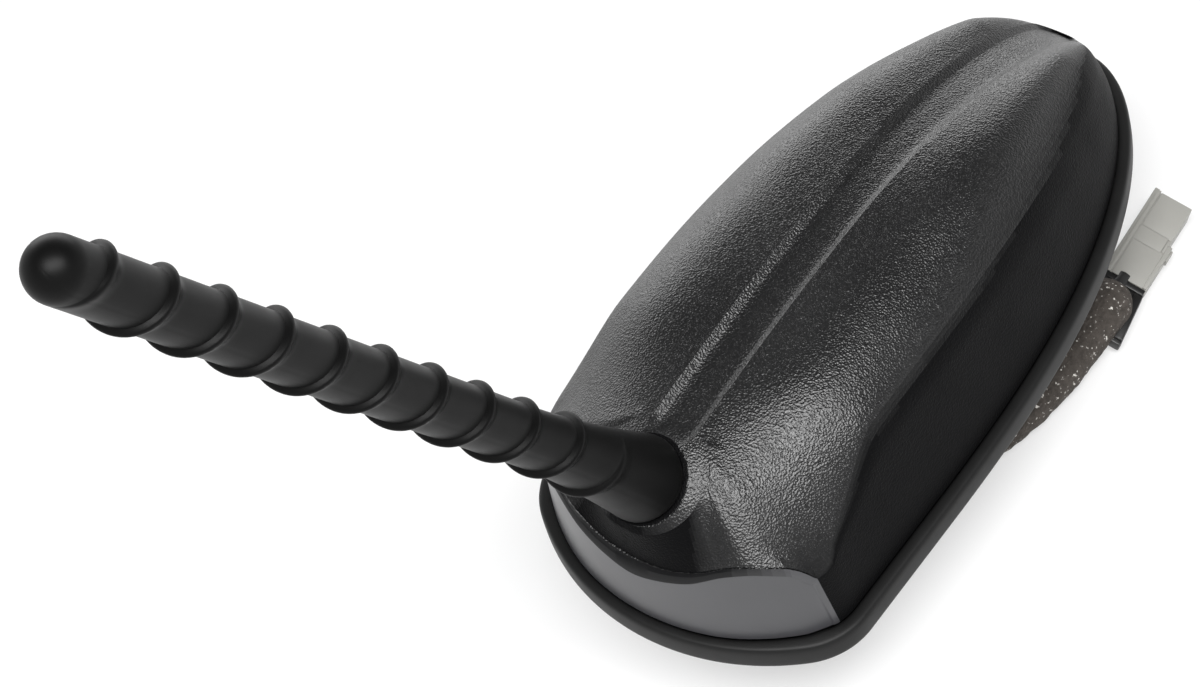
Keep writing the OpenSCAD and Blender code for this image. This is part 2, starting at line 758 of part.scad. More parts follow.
// Air-cored coil of thick wire, on a core, with two legs
coil_x = -37;
coil_y = 7;
coil_turns = 7;
coil_rise = 3;
coil_length = 9;
coil_core_d = 3.4;
coil_wire_r = 2;
coil_wire_d = 1;
coil_wire_pitch = 1.1;
coil_leg = [3, 1.4, 0.8];
coil_leg_apart = 8;
module choke_coil() {
    color([0.62, 0.36, 0.18])
    translate([coil_x, coil_y, board_top + coil_rise]) rotate([0, 90, 0]) {
        cylinder(h = coil_length, d = coil_core_d, center = true, $fn = 32);
        for (k = [0 : coil_turns - 1])
            translate([0, 0, (k - (coil_turns - 1) / 2) * coil_wire_pitch])
            rotate_extrude($fn = 32) translate([coil_wire_r, 0]) circle(d = coil_wire_d, $fn = 16);
        for (side = [-1, 1]) translate([coil_leg[0] / 2, 0, side * coil_leg_apart / 2])
            cube(coil_leg, center = true);
    }
}

// Chip packages: x, y, length and width of each
chip_places = [[-38, -6, 4, 3], [-31, -14, 6, 5], [8, 17, 5, 3], [8, -17, 5, 3],
    [40, 8, 3, 2], [40, -8, 3, 2]];
chip_height = 1.2;
module board_chips() {
    color([0.13, 0.13, 0.14]) for (c = chip_places)
        translate([c[0] - c[2] / 2, c[1] - c[3] / 2, board_top]) cube([c[2], c[3], chip_height]);
}

// Coaxial socket under the board, into which the cable ends
plug_foot = 7;
plug_d = 6.4;
plug_pad = [8, 8, 1];
plug_bore = 2;
cable_gap = 0.15;
module board_connector() {
    color([0.8, 0.68, 0.4]) translate([grommet_x, 0, 0]) difference() {
        union() {
            translate([0, 0, plug_foot])
                cylinder(h = board_height - plug_foot, d = plug_d, $fn = 32);
            translate([-plug_pad[0] / 2, -plug_pad[1] / 2, board_height - plug_pad[2]])
                cube(plug_pad);
        }
        translate([0, 0, plug_foot - over])
            cylinder(h = plug_bore + over, d = cable_d + 2 * cable_gap, $fn = 32);
    }
}

board_screw_bite = 0.6;
board_head_height = 1.4;
board_head_d = 4.4;
module board_screws() {
    color([0.75, 0.76, 0.76]) at_board_holes() {
        translate([0, 0, base_top - board_screw_bite])
            cylinder(h = board_top - base_top + board_screw_bite, d = board_screw_d, $fn = 32);
        translate([0, 0, board_top]) cylinder(h = board_head_height, d = board_head_d, $fn = 32);
    }
}

module cover_screws() {
    color([0.75, 0.76, 0.76]) at_posts() {
        translate([0, 0, gasket_web]) cylinder(h = head_height, d = head_d, $fn = 32);
        translate([0, 0, gasket_web + lap])
            cylinder(h = post_foot + cover_screw_reach - gasket_web - lap, d = cover_screw_d,
                $fn = 32);
    }
}

grommet_flange = 2;
grommet_flange_d = 13;
module cable_grommet() {
    color([0.06, 0.06, 0.06])
    translate([grommet_x, 0, -neck_reach - grommet_flange]) difference() {
        union() {
            cylinder(h = grommet_flange, d = grommet_flange_d, $fn = 48);
            cylinder(h = grommet_flange + neck_reach + base_top, d = grommet_d, $fn = 48);
        }
        translate([0, 0, -over])
            cylinder(h = through, d = cable_d + 2 * cable_gap, $fn = 32);
    }
}

// Route of the cable, from the circuit board down through the base and along the side
route = [[grommet_x, 0, 9], [grommet_x, 0, 4], [grommet_x, 0, -2], [grommet_x, 0, -8],
    [-23, -2, -13.5], [-18, -8, -17.5], [-8, -17, -18.5], [4, -23.5, -18.5],
    [18, -26.5, -18.5], [30, -27, -18.5], [40, -27.2, -18], [52, -26.6, -18]];
// The foam wrap covers the cable between these two points of the route
foam_from = 5;
foam_to = 10;
function spline(p, k, t) =
    let (n = len(p) - 1,
         a = p[max(0, k - 1)],
         b = p[k],
         c = p[min(n, k + 1)],
         d = p[min(n, k + 2)])
    0.5 * (2 * b + (c - a) * t + (2 * a - 5 * b + 4 * c - d) * t * t
        + (3 * b - a - 3 * c + d) * t * t * t);
route_cut = 3;
function route_points(from, to) =
    [for (k = [from : to - 1]) for (j = [0 : route_cut - 1]) spline(route, k, j / route_cut),
     route[to]];
// A closed tube of even radius swept along a path
frame_aim = [0.5, 0.3, 1];
function ring_about(path, k, radius, sides) =
    let (n = len(path) - 1,
         along = path[min(n, k + 1)] - path[max(0, k - 1)],
         u = cross(along, frame_aim) / norm(cross(along, frame_aim)),
         v = cross(u, along) / norm(along))
    [for (j = [0 : sides - 1]) let (turn = 360 * j / sides)
        path[k] + radius * (cos(turn) * u + sin(turn) * v)];
module swept(path, radius, sides) {
    n = len(path);
    points = [for (k = [0 : n - 1]) each ring_about(path, k, radius, sides)];
    walls = [for (k = [0 : n - 2]) for (j = [0 : sides - 1])
        let (a = k * sides + j, b = k * sides + (j + 1) % sides, c = b + sides, d = a + sides)
        each [[a, b, c], [a, c, d]]];
    ends = [[for (j = [sides - 1 : -1 : 0]) j],
        [for (j = [0 : sides - 1]) (n - 1) * sides + j]];
    polyhedron(points, concat(walls, ends), convexity = 6);
}

module antenna_cable() {
    color([0.06, 0.06, 0.06]) swept(route_points(0, len(route) - 1), cable_d / 2, 8);
}

module foam_sleeve() {
    color([0.2, 0.18, 0.16]) difference() {
        swept(route_points(foam_from, foam_to), foam_d / 2, 12);
        swept(route_points(foam_from - 1, foam_to + 1), cable_d / 2 + cable_gap, 8);
    }
}

// The connector lies beside the gasket, turned a little inward
connector_place = [46.5, -27, -18];
connector_turn = 6;
module at_connector() {
    translate(connector_place) rotate([0, 0, connector_turn]) children();
}

// Mouth at the front end, a key along the top, a latch band and a groove on each side
cavity = [14, 7, 6];
key_margin = 3;
key_width = 5;
key_rise = 1;
latch_length = 6;
latch_margin = 2;
latch_rise = 0.8;
latch_height = 4;
groove_start = 1.5;
groove_length = 15;
groove_depth = 0.5;
groove_low = 1.4;
groove_height = 1.2;
connector_bore_gap = 0.3;
module connector_housing() {
    color([0.62, 0.61, 0.58]) at_connector() difference() {
        union() {
            translate([0, -connector_width / 2, -connector_height / 2])
                cube([connector_length, connector_width, connector_height]);
            translate([key_margin, -key_width / 2, connector_height / 2])
                cube([connector_length - 2 * key_margin, key_width, key_rise]);
            translate([connector_length - latch_margin - latch_length,
                -connector_width / 2 - latch_rise, -latch_height / 2])
                cube([latch_length, connector_width + 2 * latch_rise, latch_height]);
        }
        translate([connector_length - cavity[0], -cavity[1] / 2, -cavity[2] / 2])
            cube(cavity + [over, 0, 0]);
        translate([-over, 0, 0]) rotate([0, 90, 0])
            cylinder(h = connector_length, d = cable_d + 2 * connector_bore_gap, $fn = 32);
        for (side = [-1, 1])
            translate([groove_start, side * connector_width / 2 - groove_depth, groove_low])
            cube([groove_length, 2 * groove_depth, groove_height]);
    }
}

// Retainer across the connector's rear end, with an arm and hook on its outer side
clip_gap = 0.2;
clip_thickness = 2;
clip_arm_out = 1.6;
clip_arm_thickness = 1.5;
clip_arm_length = 13;
clip_arm_height = 6;
clip_hook = [1.6, 1.5];
module connector_clip() {
    arm_y = -connector_width / 2 - clip_arm_out;
    color([0.07, 0.07, 0.07]) at_connector() difference() {
        union() {
            translate([-clip_gap - clip_thickness, arm_y, -connector_height / 2])
                cube([clip_thickness, connector_width + clip_arm_out, connector_height]);
            translate([-clip_arm_length, arm_y, -clip_arm_height / 2])
                cube([clip_arm_length, clip_arm_thickness, clip_arm_height]);
            translate([-clip_arm_length, arm_y + clip_arm_thickness - clip_gap,
                -clip_arm_height / 2])
                cube([clip_hook[0], clip_hook[1], clip_arm_height]);
        }
        translate([-clip_arm_length, 0, 0]) rotate([0, 90, 0])
            cylinder(h = clip_arm_length, d = cable_d + 2 * connector_bore_gap, $fn = 32);
    }
}

contact_length = 8;
contact_d = 1;
contact_y = 2;
centre_contact_d = 1.4;
centre_contact_root = 3;
module connector_contacts() {
    mouth_x = connector_length - cavity[0];
    color([0.8, 0.68, 0.4]) at_connector() {
        for (side = [-1, 1]) translate([mouth_x, side * contact_y, 0]) rotate([0, 90, 0])
            cylinder(h = contact_length, d = contact_d, $fn = 24);
        translate([mouth_x - centre_contact_root, 0, 0]) rotate([0, 90, 0])
            cylinder(h = centre_contact_root + contact_length, d = centre_contact_d, $fn = 24);
    }
}

cover();
gasket();
base_plate();
roof_stud();
claw_washer();
roof_nut();
mast();
mast_stud();
mast_seal();
mast_socket();
socket_nut();
contact_spring();
circuit_board();
shield_can();
patch_antenna();
choke_coil();
board_chips();
board_connector();
board_screws();
cover_screws();
cable_grommet();
antenna_cable();
foam_sleeve();
connector_housing();
connector_clip();
connector_contacts();
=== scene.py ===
"""Roof antenna of a car: grained black pod with a channelled crest on a rubber gasket, a
ribbed screw-in mast leaning back from it, and a foam-wrapped pigtail with a grey connector.

Lengths are in millimetres up to the point where a mesh is made, in the frame of the CAD
model: x forward along the roof, y to the left, z up, z = 0 under the gasket.
"""
import math

import bpy
from mathutils import Matrix, Vector, noise


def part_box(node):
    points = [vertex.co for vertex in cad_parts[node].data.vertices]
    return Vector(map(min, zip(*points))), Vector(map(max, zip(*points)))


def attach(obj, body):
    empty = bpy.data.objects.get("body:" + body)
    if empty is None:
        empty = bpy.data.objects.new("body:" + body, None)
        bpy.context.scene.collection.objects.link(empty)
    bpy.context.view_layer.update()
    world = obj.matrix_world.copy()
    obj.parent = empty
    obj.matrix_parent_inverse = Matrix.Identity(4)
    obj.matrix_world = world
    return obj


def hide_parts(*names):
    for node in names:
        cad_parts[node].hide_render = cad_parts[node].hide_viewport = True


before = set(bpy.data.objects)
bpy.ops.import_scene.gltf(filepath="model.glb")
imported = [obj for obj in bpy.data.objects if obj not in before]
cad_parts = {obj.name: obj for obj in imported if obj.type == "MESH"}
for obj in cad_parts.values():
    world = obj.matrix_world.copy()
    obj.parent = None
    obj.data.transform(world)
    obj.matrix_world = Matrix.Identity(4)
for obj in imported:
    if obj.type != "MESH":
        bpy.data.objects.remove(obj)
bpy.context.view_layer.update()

MM = 0.001


def node_box(node):
    """Lowest and highest corner of a CAD node, in millimetres."""
    low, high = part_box(node)
    return [v / MM for v in low], [v / MM for v in high]


# ---- driving dimensions
GASKET_LOW, GASKET_HIGH = node_box("gasket")
NOSE_REACH = GASKET_HIGH[0]
TAIL_REACH = -GASKET_LOW[0]
HALF_WIDTH = GASKET_HIGH[1]
STUD_LOW, STUD_HIGH = node_box("roof_stud")[0][2], node_box("roof_stud")[1][2]
FLOOR_Z = STUD_LOW - 0.2

TAIL_RADIUS = 52
CORNER_RADIUS = 16
TAPER_START = -30
TAPER_POWER = 2.5
TAPER_ROOT = 0.55
CREST_HEIGHT = 45.4
COVER_WALL = 2.2
SHOULDER_HEIGHT = 34
FLANK_LEAN = 3.6
CHANNEL_WIDTH = 10.2
CHANNEL_FLOOR = 7
CHANNEL_DEPTH = 1
GASKET_LIP = 2.8
GASKET_WEB = 1.5

MAST_LENGTH = 201
MAST_D = 11
RIB_D = 13.3
RIB_PITCH = 16.9
RIB_START = MAST_LENGTH - 5.8
RIB_END = 17.75
FOOT_D = 17
FLARE_LENGTH = 48
MAST_RAKE = 61.8
FOOT_BACK = TAIL_REACH - 12.5
FOOT_HEIGHT = 38.6
MAST_LEAN = math.radians(90 - MAST_RAKE)
SEAL_THICKNESS = 1.2

CABLE_D = 3.2
FOAM_D = 9
GROMMET_X = -24


# ---- small helpers
def lerp(a, b, t):
    return a + (b - a) * t


def clamp(t, low=0.0, high=1.0):
    return min(high, max(low, t))


def ease(t):
    t = clamp(t)
    return t * t * (3 - 2 * t)


def straight_along(places, values, place):
    """A value read between the entries of a list, by straight lines."""
    place = clamp(place, places[0], places[-1])
    for k in range(len(places) - 1):
        if place <= places[k + 1]:
            return lerp(values[k], values[k + 1], (place - places[k]) / (places[k + 1] - places[k]))


def deg_sin(a):
    return math.sin(math.radians(a))


def deg_cos(a):
    return math.cos(math.radians(a))


def mirrored(point):
    return Vector((point.x, -point.y, point.z))


def deselect_all():
    for piece in bpy.context.selected_objects:
        piece.select_set(False)


def only(piece):
    """Makes a piece the one selected and active object."""
    deselect_all()
    bpy.context.view_layer.objects.active = piece
    piece.select_set(True)
    return piece


def named(piece, name):
    piece.name = name
    piece.data.name = name
    return piece


def settle(piece):
    """Puts a piece's place into its mesh."""
    only(piece)
    bpy.ops.object.transform_apply(location=True, rotation=True, scale=True)
    return piece


def finish_modifiers(piece):
    only(piece)
    for modifier in list(piece.modifiers):
        bpy.ops.object.modifier_apply(modifier=modifier.name)
    return piece


def close_and_face_out(piece, distance=0.004, tiny=0):
    """Merges seams and poles, turns the faces outward and dissolves faces of no size."""
    only(piece)
    bpy.ops.object.mode_set(mode="EDIT")
    bpy.ops.mesh.select_all(action="SELECT")
    bpy.ops.mesh.remove_doubles(threshold=distance * MM)
    bpy.ops.mesh.normals_make_consistent(inside=False)
    if tiny:
        bpy.ops.mesh.select_all(action="SELECT")
        bpy.ops.mesh.dissolve_degenerate(threshold=tiny * MM)
    bpy.ops.object.mode_set(mode="OBJECT")
    return piece


def cap_open_edges(piece):
    """Closes each open rim with one face."""
    only(piece)
    bpy.ops.object.mode_set(mode="EDIT")
    bpy.ops.mesh.select_mode(type="EDGE")
    bpy.ops.mesh.select_all(action="DESELECT")
    bpy.ops.mesh.select_non_manifold(extend=False, use_wire=False, use_boundary=True,
                                     use_multi_face=False, use_non_contiguous=False,
                                     use_verts=False)
    bpy.ops.mesh.fill()
    bpy.ops.mesh.select_mode(type="VERT")
    bpy.ops.object.mode_set(mode="OBJECT")
    return piece


def smooth(piece, angle=30):
    only(piece)
    bpy.ops.object.shade_smooth_by_angle(angle=math.radians(angle))
    return piece


def shaped_grid(name, columns, rows, place, finishes=(), finish_of=None):
    """A grid whose vertex in a column and row is moved to place(column, row); a face in a
    column and row takes finish number finish_of(column, row)."""
    deselect_all()
    bpy.ops.mesh.primitive_grid_add(x_subdivisions=columns - 1, y_subdivisions=rows - 1, size=1)
    piece = named(bpy.context.object, name)
    for finish in finishes:
        piece.data.materials.append(finish)
    if finish_of:
        for face in piece.data.polygons:
            face.material_index = finish_of(int((face.center.x + 0.5) * (columns - 1)),
                                            int((face.center.y + 0.5) * (rows - 1)))
    for vertex in piece.data.vertices:
        column = round((vertex.co.x + 0.5) * (columns - 1))
        row = round((vertex.co.y + 0.5) * (rows - 1))
        vertex.co = Vector(place(column, row)) * MM
    return settle(piece)


def join(name, pieces):
    only(pieces[0])
    for piece in pieces[1:]:
        piece.select_set(True)
    bpy.ops.object.join()
    return named(pieces[0], name)


def round_edges(piece, width, angle=35):
    modifier = piece.modifiers.new("edge_rounding", "BEVEL")
    modifier.width = width * MM
    modifier.segments = 2
    modifier.limit_method = "ANGLE"
    modifier.angle_limit = math.radians(angle)
    return finish_modifiers(piece)


def cut(piece, *cutters):
    """Takes cutters away from a piece, and deletes them."""
    for cutter in cutters:
        modifier = piece.modifiers.new("cut", "BOOLEAN")
        modifier.operation = "DIFFERENCE"
        modifier.solver = "EXACT"
        modifier.object = cutter
        finish_modifiers(piece)
        bpy.data.objects.remove(cutter)
    return piece


# ---- materials
def linear(colour):
    """An sRGB hex colour as linear values."""
    parts = [int(colour[k:k + 2], 16) / 255 for k in (0, 2, 4)]
    return [p / 12.92 if p <= 0.04045 else ((p + 0.055) / 1.055) ** 2.4 for p in parts] + [1.0]


def add_node(tree, kind, **settings):
    """Adds a node, sets its own settings and its inputs, and links others to outputs."""
    made = tree.nodes.new("ShaderNode" + kind)
    links = settings.pop("links", {})
    inputs = settings.pop("inputs", {})
    for name, value in settings.items():
        setattr(made, name, value)
    for name, value in inputs.items():
        made.inputs[name].default_value = value
    for name, source in links.items():
        tree.links.new(source, made.inputs[name])
    return made


def new_finish(name, colour, roughness, metallic=0.0, ior=1.5, specular=0.5):
    """A material with its shader and the piece's own coordinates."""
    finish = bpy.data.materials.new(name)
    finish.use_nodes = True
    tree = finish.node_tree
    shader = tree.nodes["Principled BSDF"]
    levels = {"Base Color": linear(colour), "Roughness": roughness, "Metallic": metallic,
              "IOR": ior, "Specular IOR Level": specular}
    for level, value in levels.items():
        shader.inputs[level].default_value = value
    place = add_node(tree, "TexCoord").outputs["Object"]
    return finish, tree, shader, place


def grains_of(size):
    """Texture scale, per metre, that gives features of a size in millimetres."""
    return 1 / (size * MM)


def add_noise(tree, place, size, detail, **more):
    """The level of a noise with features of a size in millimetres."""
    made = add_node(tree, "TexNoise", links={"Vector": place},
                    inputs={"Scale": grains_of(size), "Detail": detail, **more})
    return made.outputs["Fac"]


def set_relief(tree, shader, height, depth):
    """Gives the surface the relief of a pattern, with a depth in millimetres."""
    bump = add_node(tree, "Bump", inputs={"Strength": 1.0, "Distance": depth * MM},
                    links={"Height": height})
    tree.links.new(bump.outputs[0], shader.inputs["Normal"])


def set_gloss(tree, shader, pattern, low, high):
    """Lets the roughness wander with a pattern between two values."""
    level = add_node(tree, "MapRange", inputs={"To Min": low, "To Max": high},
                     links={"Value": pattern})
    tree.links.new(level.outputs[0], shader.inputs["Roughness"])


GLOSS_PATCH, GLOSS_SPREAD = 14, 0.08


def grained(name, colour, roughness, grain, depth, specular=0.5):
    """Moulded plastic with an even pebble grain and slight change in gloss."""
    finish, tree, shader, place = new_finish(name, colour, roughness, specular=specular)
    pebbles = add_node(tree, "TexVoronoi", feature="SMOOTH_F1",
                       inputs={"Scale": grains_of(grain), "Smoothness": 0.6, "Randomness": 1.0},
                       links={"Vector": place})
    wander = add_noise(tree, place, grain * 2.1, 3.0, Roughness=0.6)
    height = add_node(tree, "Math", operation="MULTIPLY_ADD", inputs={1: 0.8},
                      links={0: wander, 2: pebbles.outputs["Distance"]})
    set_relief(tree, shader, height.outputs[0], depth)
    set_gloss(tree, shader, add_noise(tree, place, GLOSS_PATCH, 4.0),
              roughness - GLOSS_SPREAD, roughness + GLOSS_SPREAD)
    return finish


MOTTLE_PATCH, SATIN_SPREAD = 6, 0.15


def satin(name, colour, roughness, specular=0.5, metallic=0.0, mottle=0.12, fine=0.3, depth=0.01,
          ior=1.5):
    """A plain moulded, machined or plated surface: faint mottle, fine tooth, uneven gloss."""
    finish, tree, shader, place = new_finish(name, colour, roughness, metallic, ior, specular)
    cloud = add_noise(tree, place, MOTTLE_PATCH, 5.0)
    shade = add_node(tree, "MapRange", inputs={"To Min": 1 - mottle, "To Max": 1 + mottle},
                     links={"Value": cloud})
    tint = add_node(tree, "VectorMath", operation="SCALE", inputs={0: linear(colour)[:3]},
                    links={"Scale": shade.outputs[0]})
    tree.links.new(tint.outputs[0], shader.inputs["Base Color"])
    set_relief(tree, shader, add_noise(tree, place, fine, 2.0), depth)
    set_gloss(tree, shader, cloud, roughness * (1 - SATIN_SPREAD), roughness * (1 + SATIN_SPREAD))
    return finish


def metal(name, colour, roughness, mottle=0.05, fine=0.2, depth=0.004):
    return satin(name, colour, roughness, metallic=1.0, mottle=mottle, fine=fine, depth=depth)


# ABS moulded in an etched tool: fine pebbles, about 0.4 mm, that break the shine up into
# sparkle. Its copies lose specular level in small steps and go on steeper faces: painted shade that
# darkens the flanks
GRAIN_SHADE_STEPS, GRAIN_SIZE, GRAIN_DEPTH = 12, 0.4, 0.12
cover_grain_shades = [grained(f"cover_abs_grained_shade_{k}", "0a0a0b", lerp(0.34, 0.5, k / (GRAIN_SHADE_STEPS - 1)),
                        GRAIN_SIZE, GRAIN_DEPTH, lerp(0.66, 0.04, k / (GRAIN_SHADE_STEPS - 1)))
                for k in range(GRAIN_SHADE_STEPS)]
# The same ABS from a polished part of the tool: an even satin that mirrors the ground softly; its grey
# base colour is painted light, the glow of the bright floor it faces
cover_smooth_lit = satin("cover_abs_smooth_lit", "39393c", 0.32, 0.65, depth=0.004)
# Its rolled border, painted light grey at the corner, darkening in steps to black: painted shade where
# it turns under the crown's edge
BAND_SHADE_COLOURS = ("333336", "2d2d2f", "262628", "1f1f20", "181819", "111112")
cover_band_shades = [satin(f"cover_abs_band_shade_{k}", colour, 0.4, 0.58 - 0.08 * k, depth=0.004)
               for k, colour in enumerate(BAND_SHADE_COLOURS)]
# EPDM rubber, moulded: deep dull black, slightly bloomed on top
gasket_rubber = satin("gasket_epdm", "121212", 0.5, 0.25, fine=0.25, depth=0.012)
# Thermoplastic elastomer moulded over a spring: soft black satin without grain
mast_elastomer = satin("mast_tpe", "080808", 0.42, 0.12, fine=0.2, depth=0.008)
# Zinc die-casting, tumbled: pale dull grey with cast mottle
cast_zinc = metal("base_zinc", "9a9a98", 0.45, mottle=0.1, fine=0.5, depth=0.02)
# Zinc-plated steel: bright, faintly bluish
plated_steel = metal("plated_steel", "b4b6b8", 0.3, mottle=0.06, fine=0.3, depth=0.006)
# Turned brass: warm yellow with a clear shine
turned_brass = metal("brass", "c9a45c", 0.25, fine=0.15)
# Phosphor bronze strip, stamped: redder and duller than the brass
spring_bronze = metal("spring_bronze", "b98a5a", 0.3)
# Nitrile rubber washer and grommet: matt black
seal_rubber = satin("seal_rubber", "141414", 0.6, 0.3)
# Tinned steel sheet: white and bright, a little rolled
tinned_steel = metal("tinned_steel", "bcbcba", 0.28, fine=0.4)
# Fired ceramic: warm white, half matt
patch_ceramic = satin("patch_ceramic", "cfc8b6", 0.5, fine=0.2)
# Enamelled copper wire: shiny red-brown
copper_wire = metal("copper_wire", "b06a3a", 0.25)
# Epoxy of the chip packages: fine matt black
chip_epoxy = satin("chip_epoxy", "1c1c1e", 0.5, fine=0.1)
# Glass-epoxy laminate under solder mask: glossy dark green
board_mask = satin("board_laminate", "1d5236", 0.3, fine=0.5)
# PVC jacket of the cable: black with a soft shine
cable_jacket = satin("cable_jacket", "171717", 0.45)
# Acetal clip: black, smooth and slightly waxy
clip_acetal = satin("clip_plastic", "141414", 0.4, depth=0.006)
# Polybutylene terephthalate, moulded, natural grey: even and half matt
connector_pbt = satin("connector_pbt", "969590", 0.5, 0.4, mottle=0.04, ior=1.55)


# Sizes of the foam's cells, of its light and dark patches and of its pale specks, and the
# levels of the speck noise between which a speck fades in
FOAM_CELL, FOAM_PATCH, FOAM_SPECK, SPECK_FROM, SPECK_TO = 0.7, 1.6, 0.8, 0.64, 0.72


def make_foam_finish():
    """Polyurethane foam skinned with fine cells: dark brown-grey, with pale torn cell walls."""
    finish, tree, shader, place = new_finish("foam_wrap", "3c3835", 0.85, specular=0.2)
    cells = add_node(tree, "TexVoronoi", feature="F1", inputs={"Scale": grains_of(FOAM_CELL)},
                     links={"Vector": place})
    cloud = add_noise(tree, place, FOAM_PATCH, 5.0)
    pale = add_node(tree, "MapRange", inputs={"From Min": SPECK_FROM, "From Max": SPECK_TO},
                    links={"Value": add_noise(tree, place, FOAM_SPECK, 2.0)})
    dark = add_node(tree, "Mix", data_type="RGBA",
                    inputs={6: linear("2a2724"), 7: linear("5a544f")}, links={0: cloud})
    shade = add_node(tree, "Mix", data_type="RGBA", inputs={7: linear("d9d6d0")},
                     links={0: pale.outputs[0], 6: dark.outputs[2]})
    tree.links.new(shade.outputs[2], shader.inputs["Base Color"])
    height = add_node(tree, "Math", operation="ADD",
                      links={0: cells.outputs["Distance"], 1: cloud})
    set_relief(tree, shader, height.outputs[0], 0.25)
    return finish


foam_skin = make_foam_finish()

# ---- camera
CAMERA_PLACE = (-355.786, -358.239, 662.817)
CAMERA_RIGHT = (0.58701, -0.78640, -0.19234)
CAMERA_DOWN = (-0.70955, -0.38536, -0.58994)
CAMERA_AHEAD = (0.38981, 0.48278, -0.78421)
SENSOR = 36
FOCAL_LENGTH = 123.8


def make_camera():
    deselect_all()
    bpy.ops.object.camera_add()
    camera = bpy.context.object
    camera.name = "camera"
    right, down, ahead = (Vector(v).normalized() for v in (CAMERA_RIGHT, CAMERA_DOWN, CAMERA_AHEAD))
    turn = Matrix((right, -down, -ahead)).transposed()
    camera.matrix_world = Matrix.Translation(Vector(CAMERA_PLACE) * MM) @ turn.to_4x4()
    camera.data.sensor_width = SENSOR
    camera.data.lens = FOCAL_LENGTH
    camera.data.clip_start = 0.05
    camera.data.clip_end = 20
    bpy.context.scene.camera = camera


make_camera()

# ---- cable and its foam wrap
# Route of the cable from the mouth of the grommet, as in the CAD model
ROUTE = [Vector(p) for p in (
    (GROMMET_X, 0, 9), (GROMMET_X, 0, 4), (GROMMET_X, 0, -2), (GROMMET_X, 0, -8), (-23, -2, -13.5),
    (-18, -8, -17.5), (-8, -17, -18.5), (4, -23.5, -18.5), (18, -26.5, -18.5), (30, -27, -18.5),
    (40, -27.2, -18), (52, -26.6, -18))]
CABLE_FROM, CABLE_TO = 3, 10.75
FOAM_FROM, FOAM_TO = 5, 10.5
FOAM_WIDER, FOAM_HIGHER, FOAM_END_ROUND, FOAM_COLUMNS = 1.24, 1.12, 5.0, 61
# Size and height of the foam's large and small lumps
LUMP, LUMP_RISE, SMALL_LUMP, SMALL_RISE = 3.1, 0.22, 1.1, 0.1


def route_point(s):
    """A point of the smooth route; whole numbers are its own points."""
    last = len(ROUTE) - 1
    k = min(last - 1, int(s))
    t = s - k
    a, b, c, d = ROUTE[max(0, k - 1)], ROUTE[k], ROUTE[k + 1], ROUTE[min(last, k + 2)]
    return 0.5 * (2 * b + (c - a) * t + (2 * a - 5 * b + 4 * c - d) * t * t
                  + (3 * b - a - 3 * c + d) * t ** 3)


def route_between(start, end, step):
    count = round((end - start) / step)
    return [route_point(lerp(start, end, k / count)) for k in range(count + 1)]


def path_length(points):
    return sum((b - a).length for a, b in zip(points, points[1:]))


def make_cable():
    """The cable as a round curve, and its length."""
    points = route_between(CABLE_FROM, CABLE_TO, 1 / 4)
    curve = bpy.data.curves.new("antenna_cord", "CURVE")
    curve.dimensions = "3D"
    spline = curve.splines.new("POLY")
    spline.points.add(len(points) - 1)
    for target, point in zip(spline.points, points):
        target.co = (*(point * MM), 1)
    curve.bevel_depth = CABLE_D / 2 * MM
    curve.bevel_resolution = 6
    curve.use_fill_caps = True
    cord = bpy.data.objects.new("antenna_cord", curve)
    bpy.context.collection.objects.link(cord)
    return cord, path_length(points)


cable, cable_length = make_cable()


def frames_along(points):
    """Two steady directions across the path at each of its points."""
    across = []
    for k in range(len(points)):
        along = (points[min(len(points) - 1, k + 1)] - points[max(0, k - 1)]).normalized()
        u = along.cross(Vector((0.5, 0.3, 1))).normalized()
        across.append((u, u.cross(along).normalized()))
    return across


def make_foam():
    """Soft open-cell sleeve with rounded, slightly ragged ends."""
    points = route_between(FOAM_FROM, FOAM_TO, 1 / 26)
    across = frames_along(points)
    total = path_length(points)
    reach = [path_length(points[:k + 1]) for k in range(len(points))]

    def radius(row):
        from_end = min(reach[row], total - reach[row])
        soft = math.sqrt(clamp(1 - (1 - clamp(from_end / FOAM_END_ROUND)) ** 2))
        return lerp(CABLE_D / 2 - 0.1, FOAM_D / 2, soft)

    def place(column, row):
        if row in (0, len(points) + 1):
            return points[0 if row == 0 else -1]
        u, v = across[row - 1]
        turn = 2 * math.pi * (column % (FOAM_COLUMNS - 1)) / (FOAM_COLUMNS - 1)
        direction = u * math.cos(turn) + v * math.sin(turn)
        r = radius(row - 1)
        at = points[row - 1] + direction * r
        lumps = (noise.noise(at / LUMP) * LUMP_RISE
                 + noise.noise(at / SMALL_LUMP + Vector((7, 3, 1))) * SMALL_RISE)
        out = direction * (r + lumps * clamp(r - CABLE_D / 2))
        return points[row - 1] + Vector((out.x * FOAM_WIDER, out.y * FOAM_WIDER, out.z * FOAM_HIGHER))

    wrap = shaped_grid("foam_wrap", FOAM_COLUMNS, len(points) + 2, place)
    return smooth(close_and_face_out(wrap), 60)


foam = make_foam()


# ---- connector
# The connector lies a little rolled on its side: x toward its mouth, z = 0 on its top face
PLUG_PLACE = Vector((48.7, -27.5, -17.05))
PLUG_TURN, PLUG_ROLL = 4.6, 18
PLUG_LENGTH, PLUG_HALF_WIDTH, PLUG_HEIGHT = 22.5, 4.1, 5.5


def on_plug(x, y, z):
    """A point in the plug's own frame put in the model's frame."""
    across = y * deg_cos(PLUG_ROLL) - z * deg_sin(PLUG_ROLL)
    up = y * deg_sin(PLUG_ROLL) + z * deg_cos(PLUG_ROLL)
    c, s = deg_cos(PLUG_TURN), deg_sin(PLUG_TURN)
    return PLUG_PLACE + Vector((x * c - across * s, x * s + across * c, up))


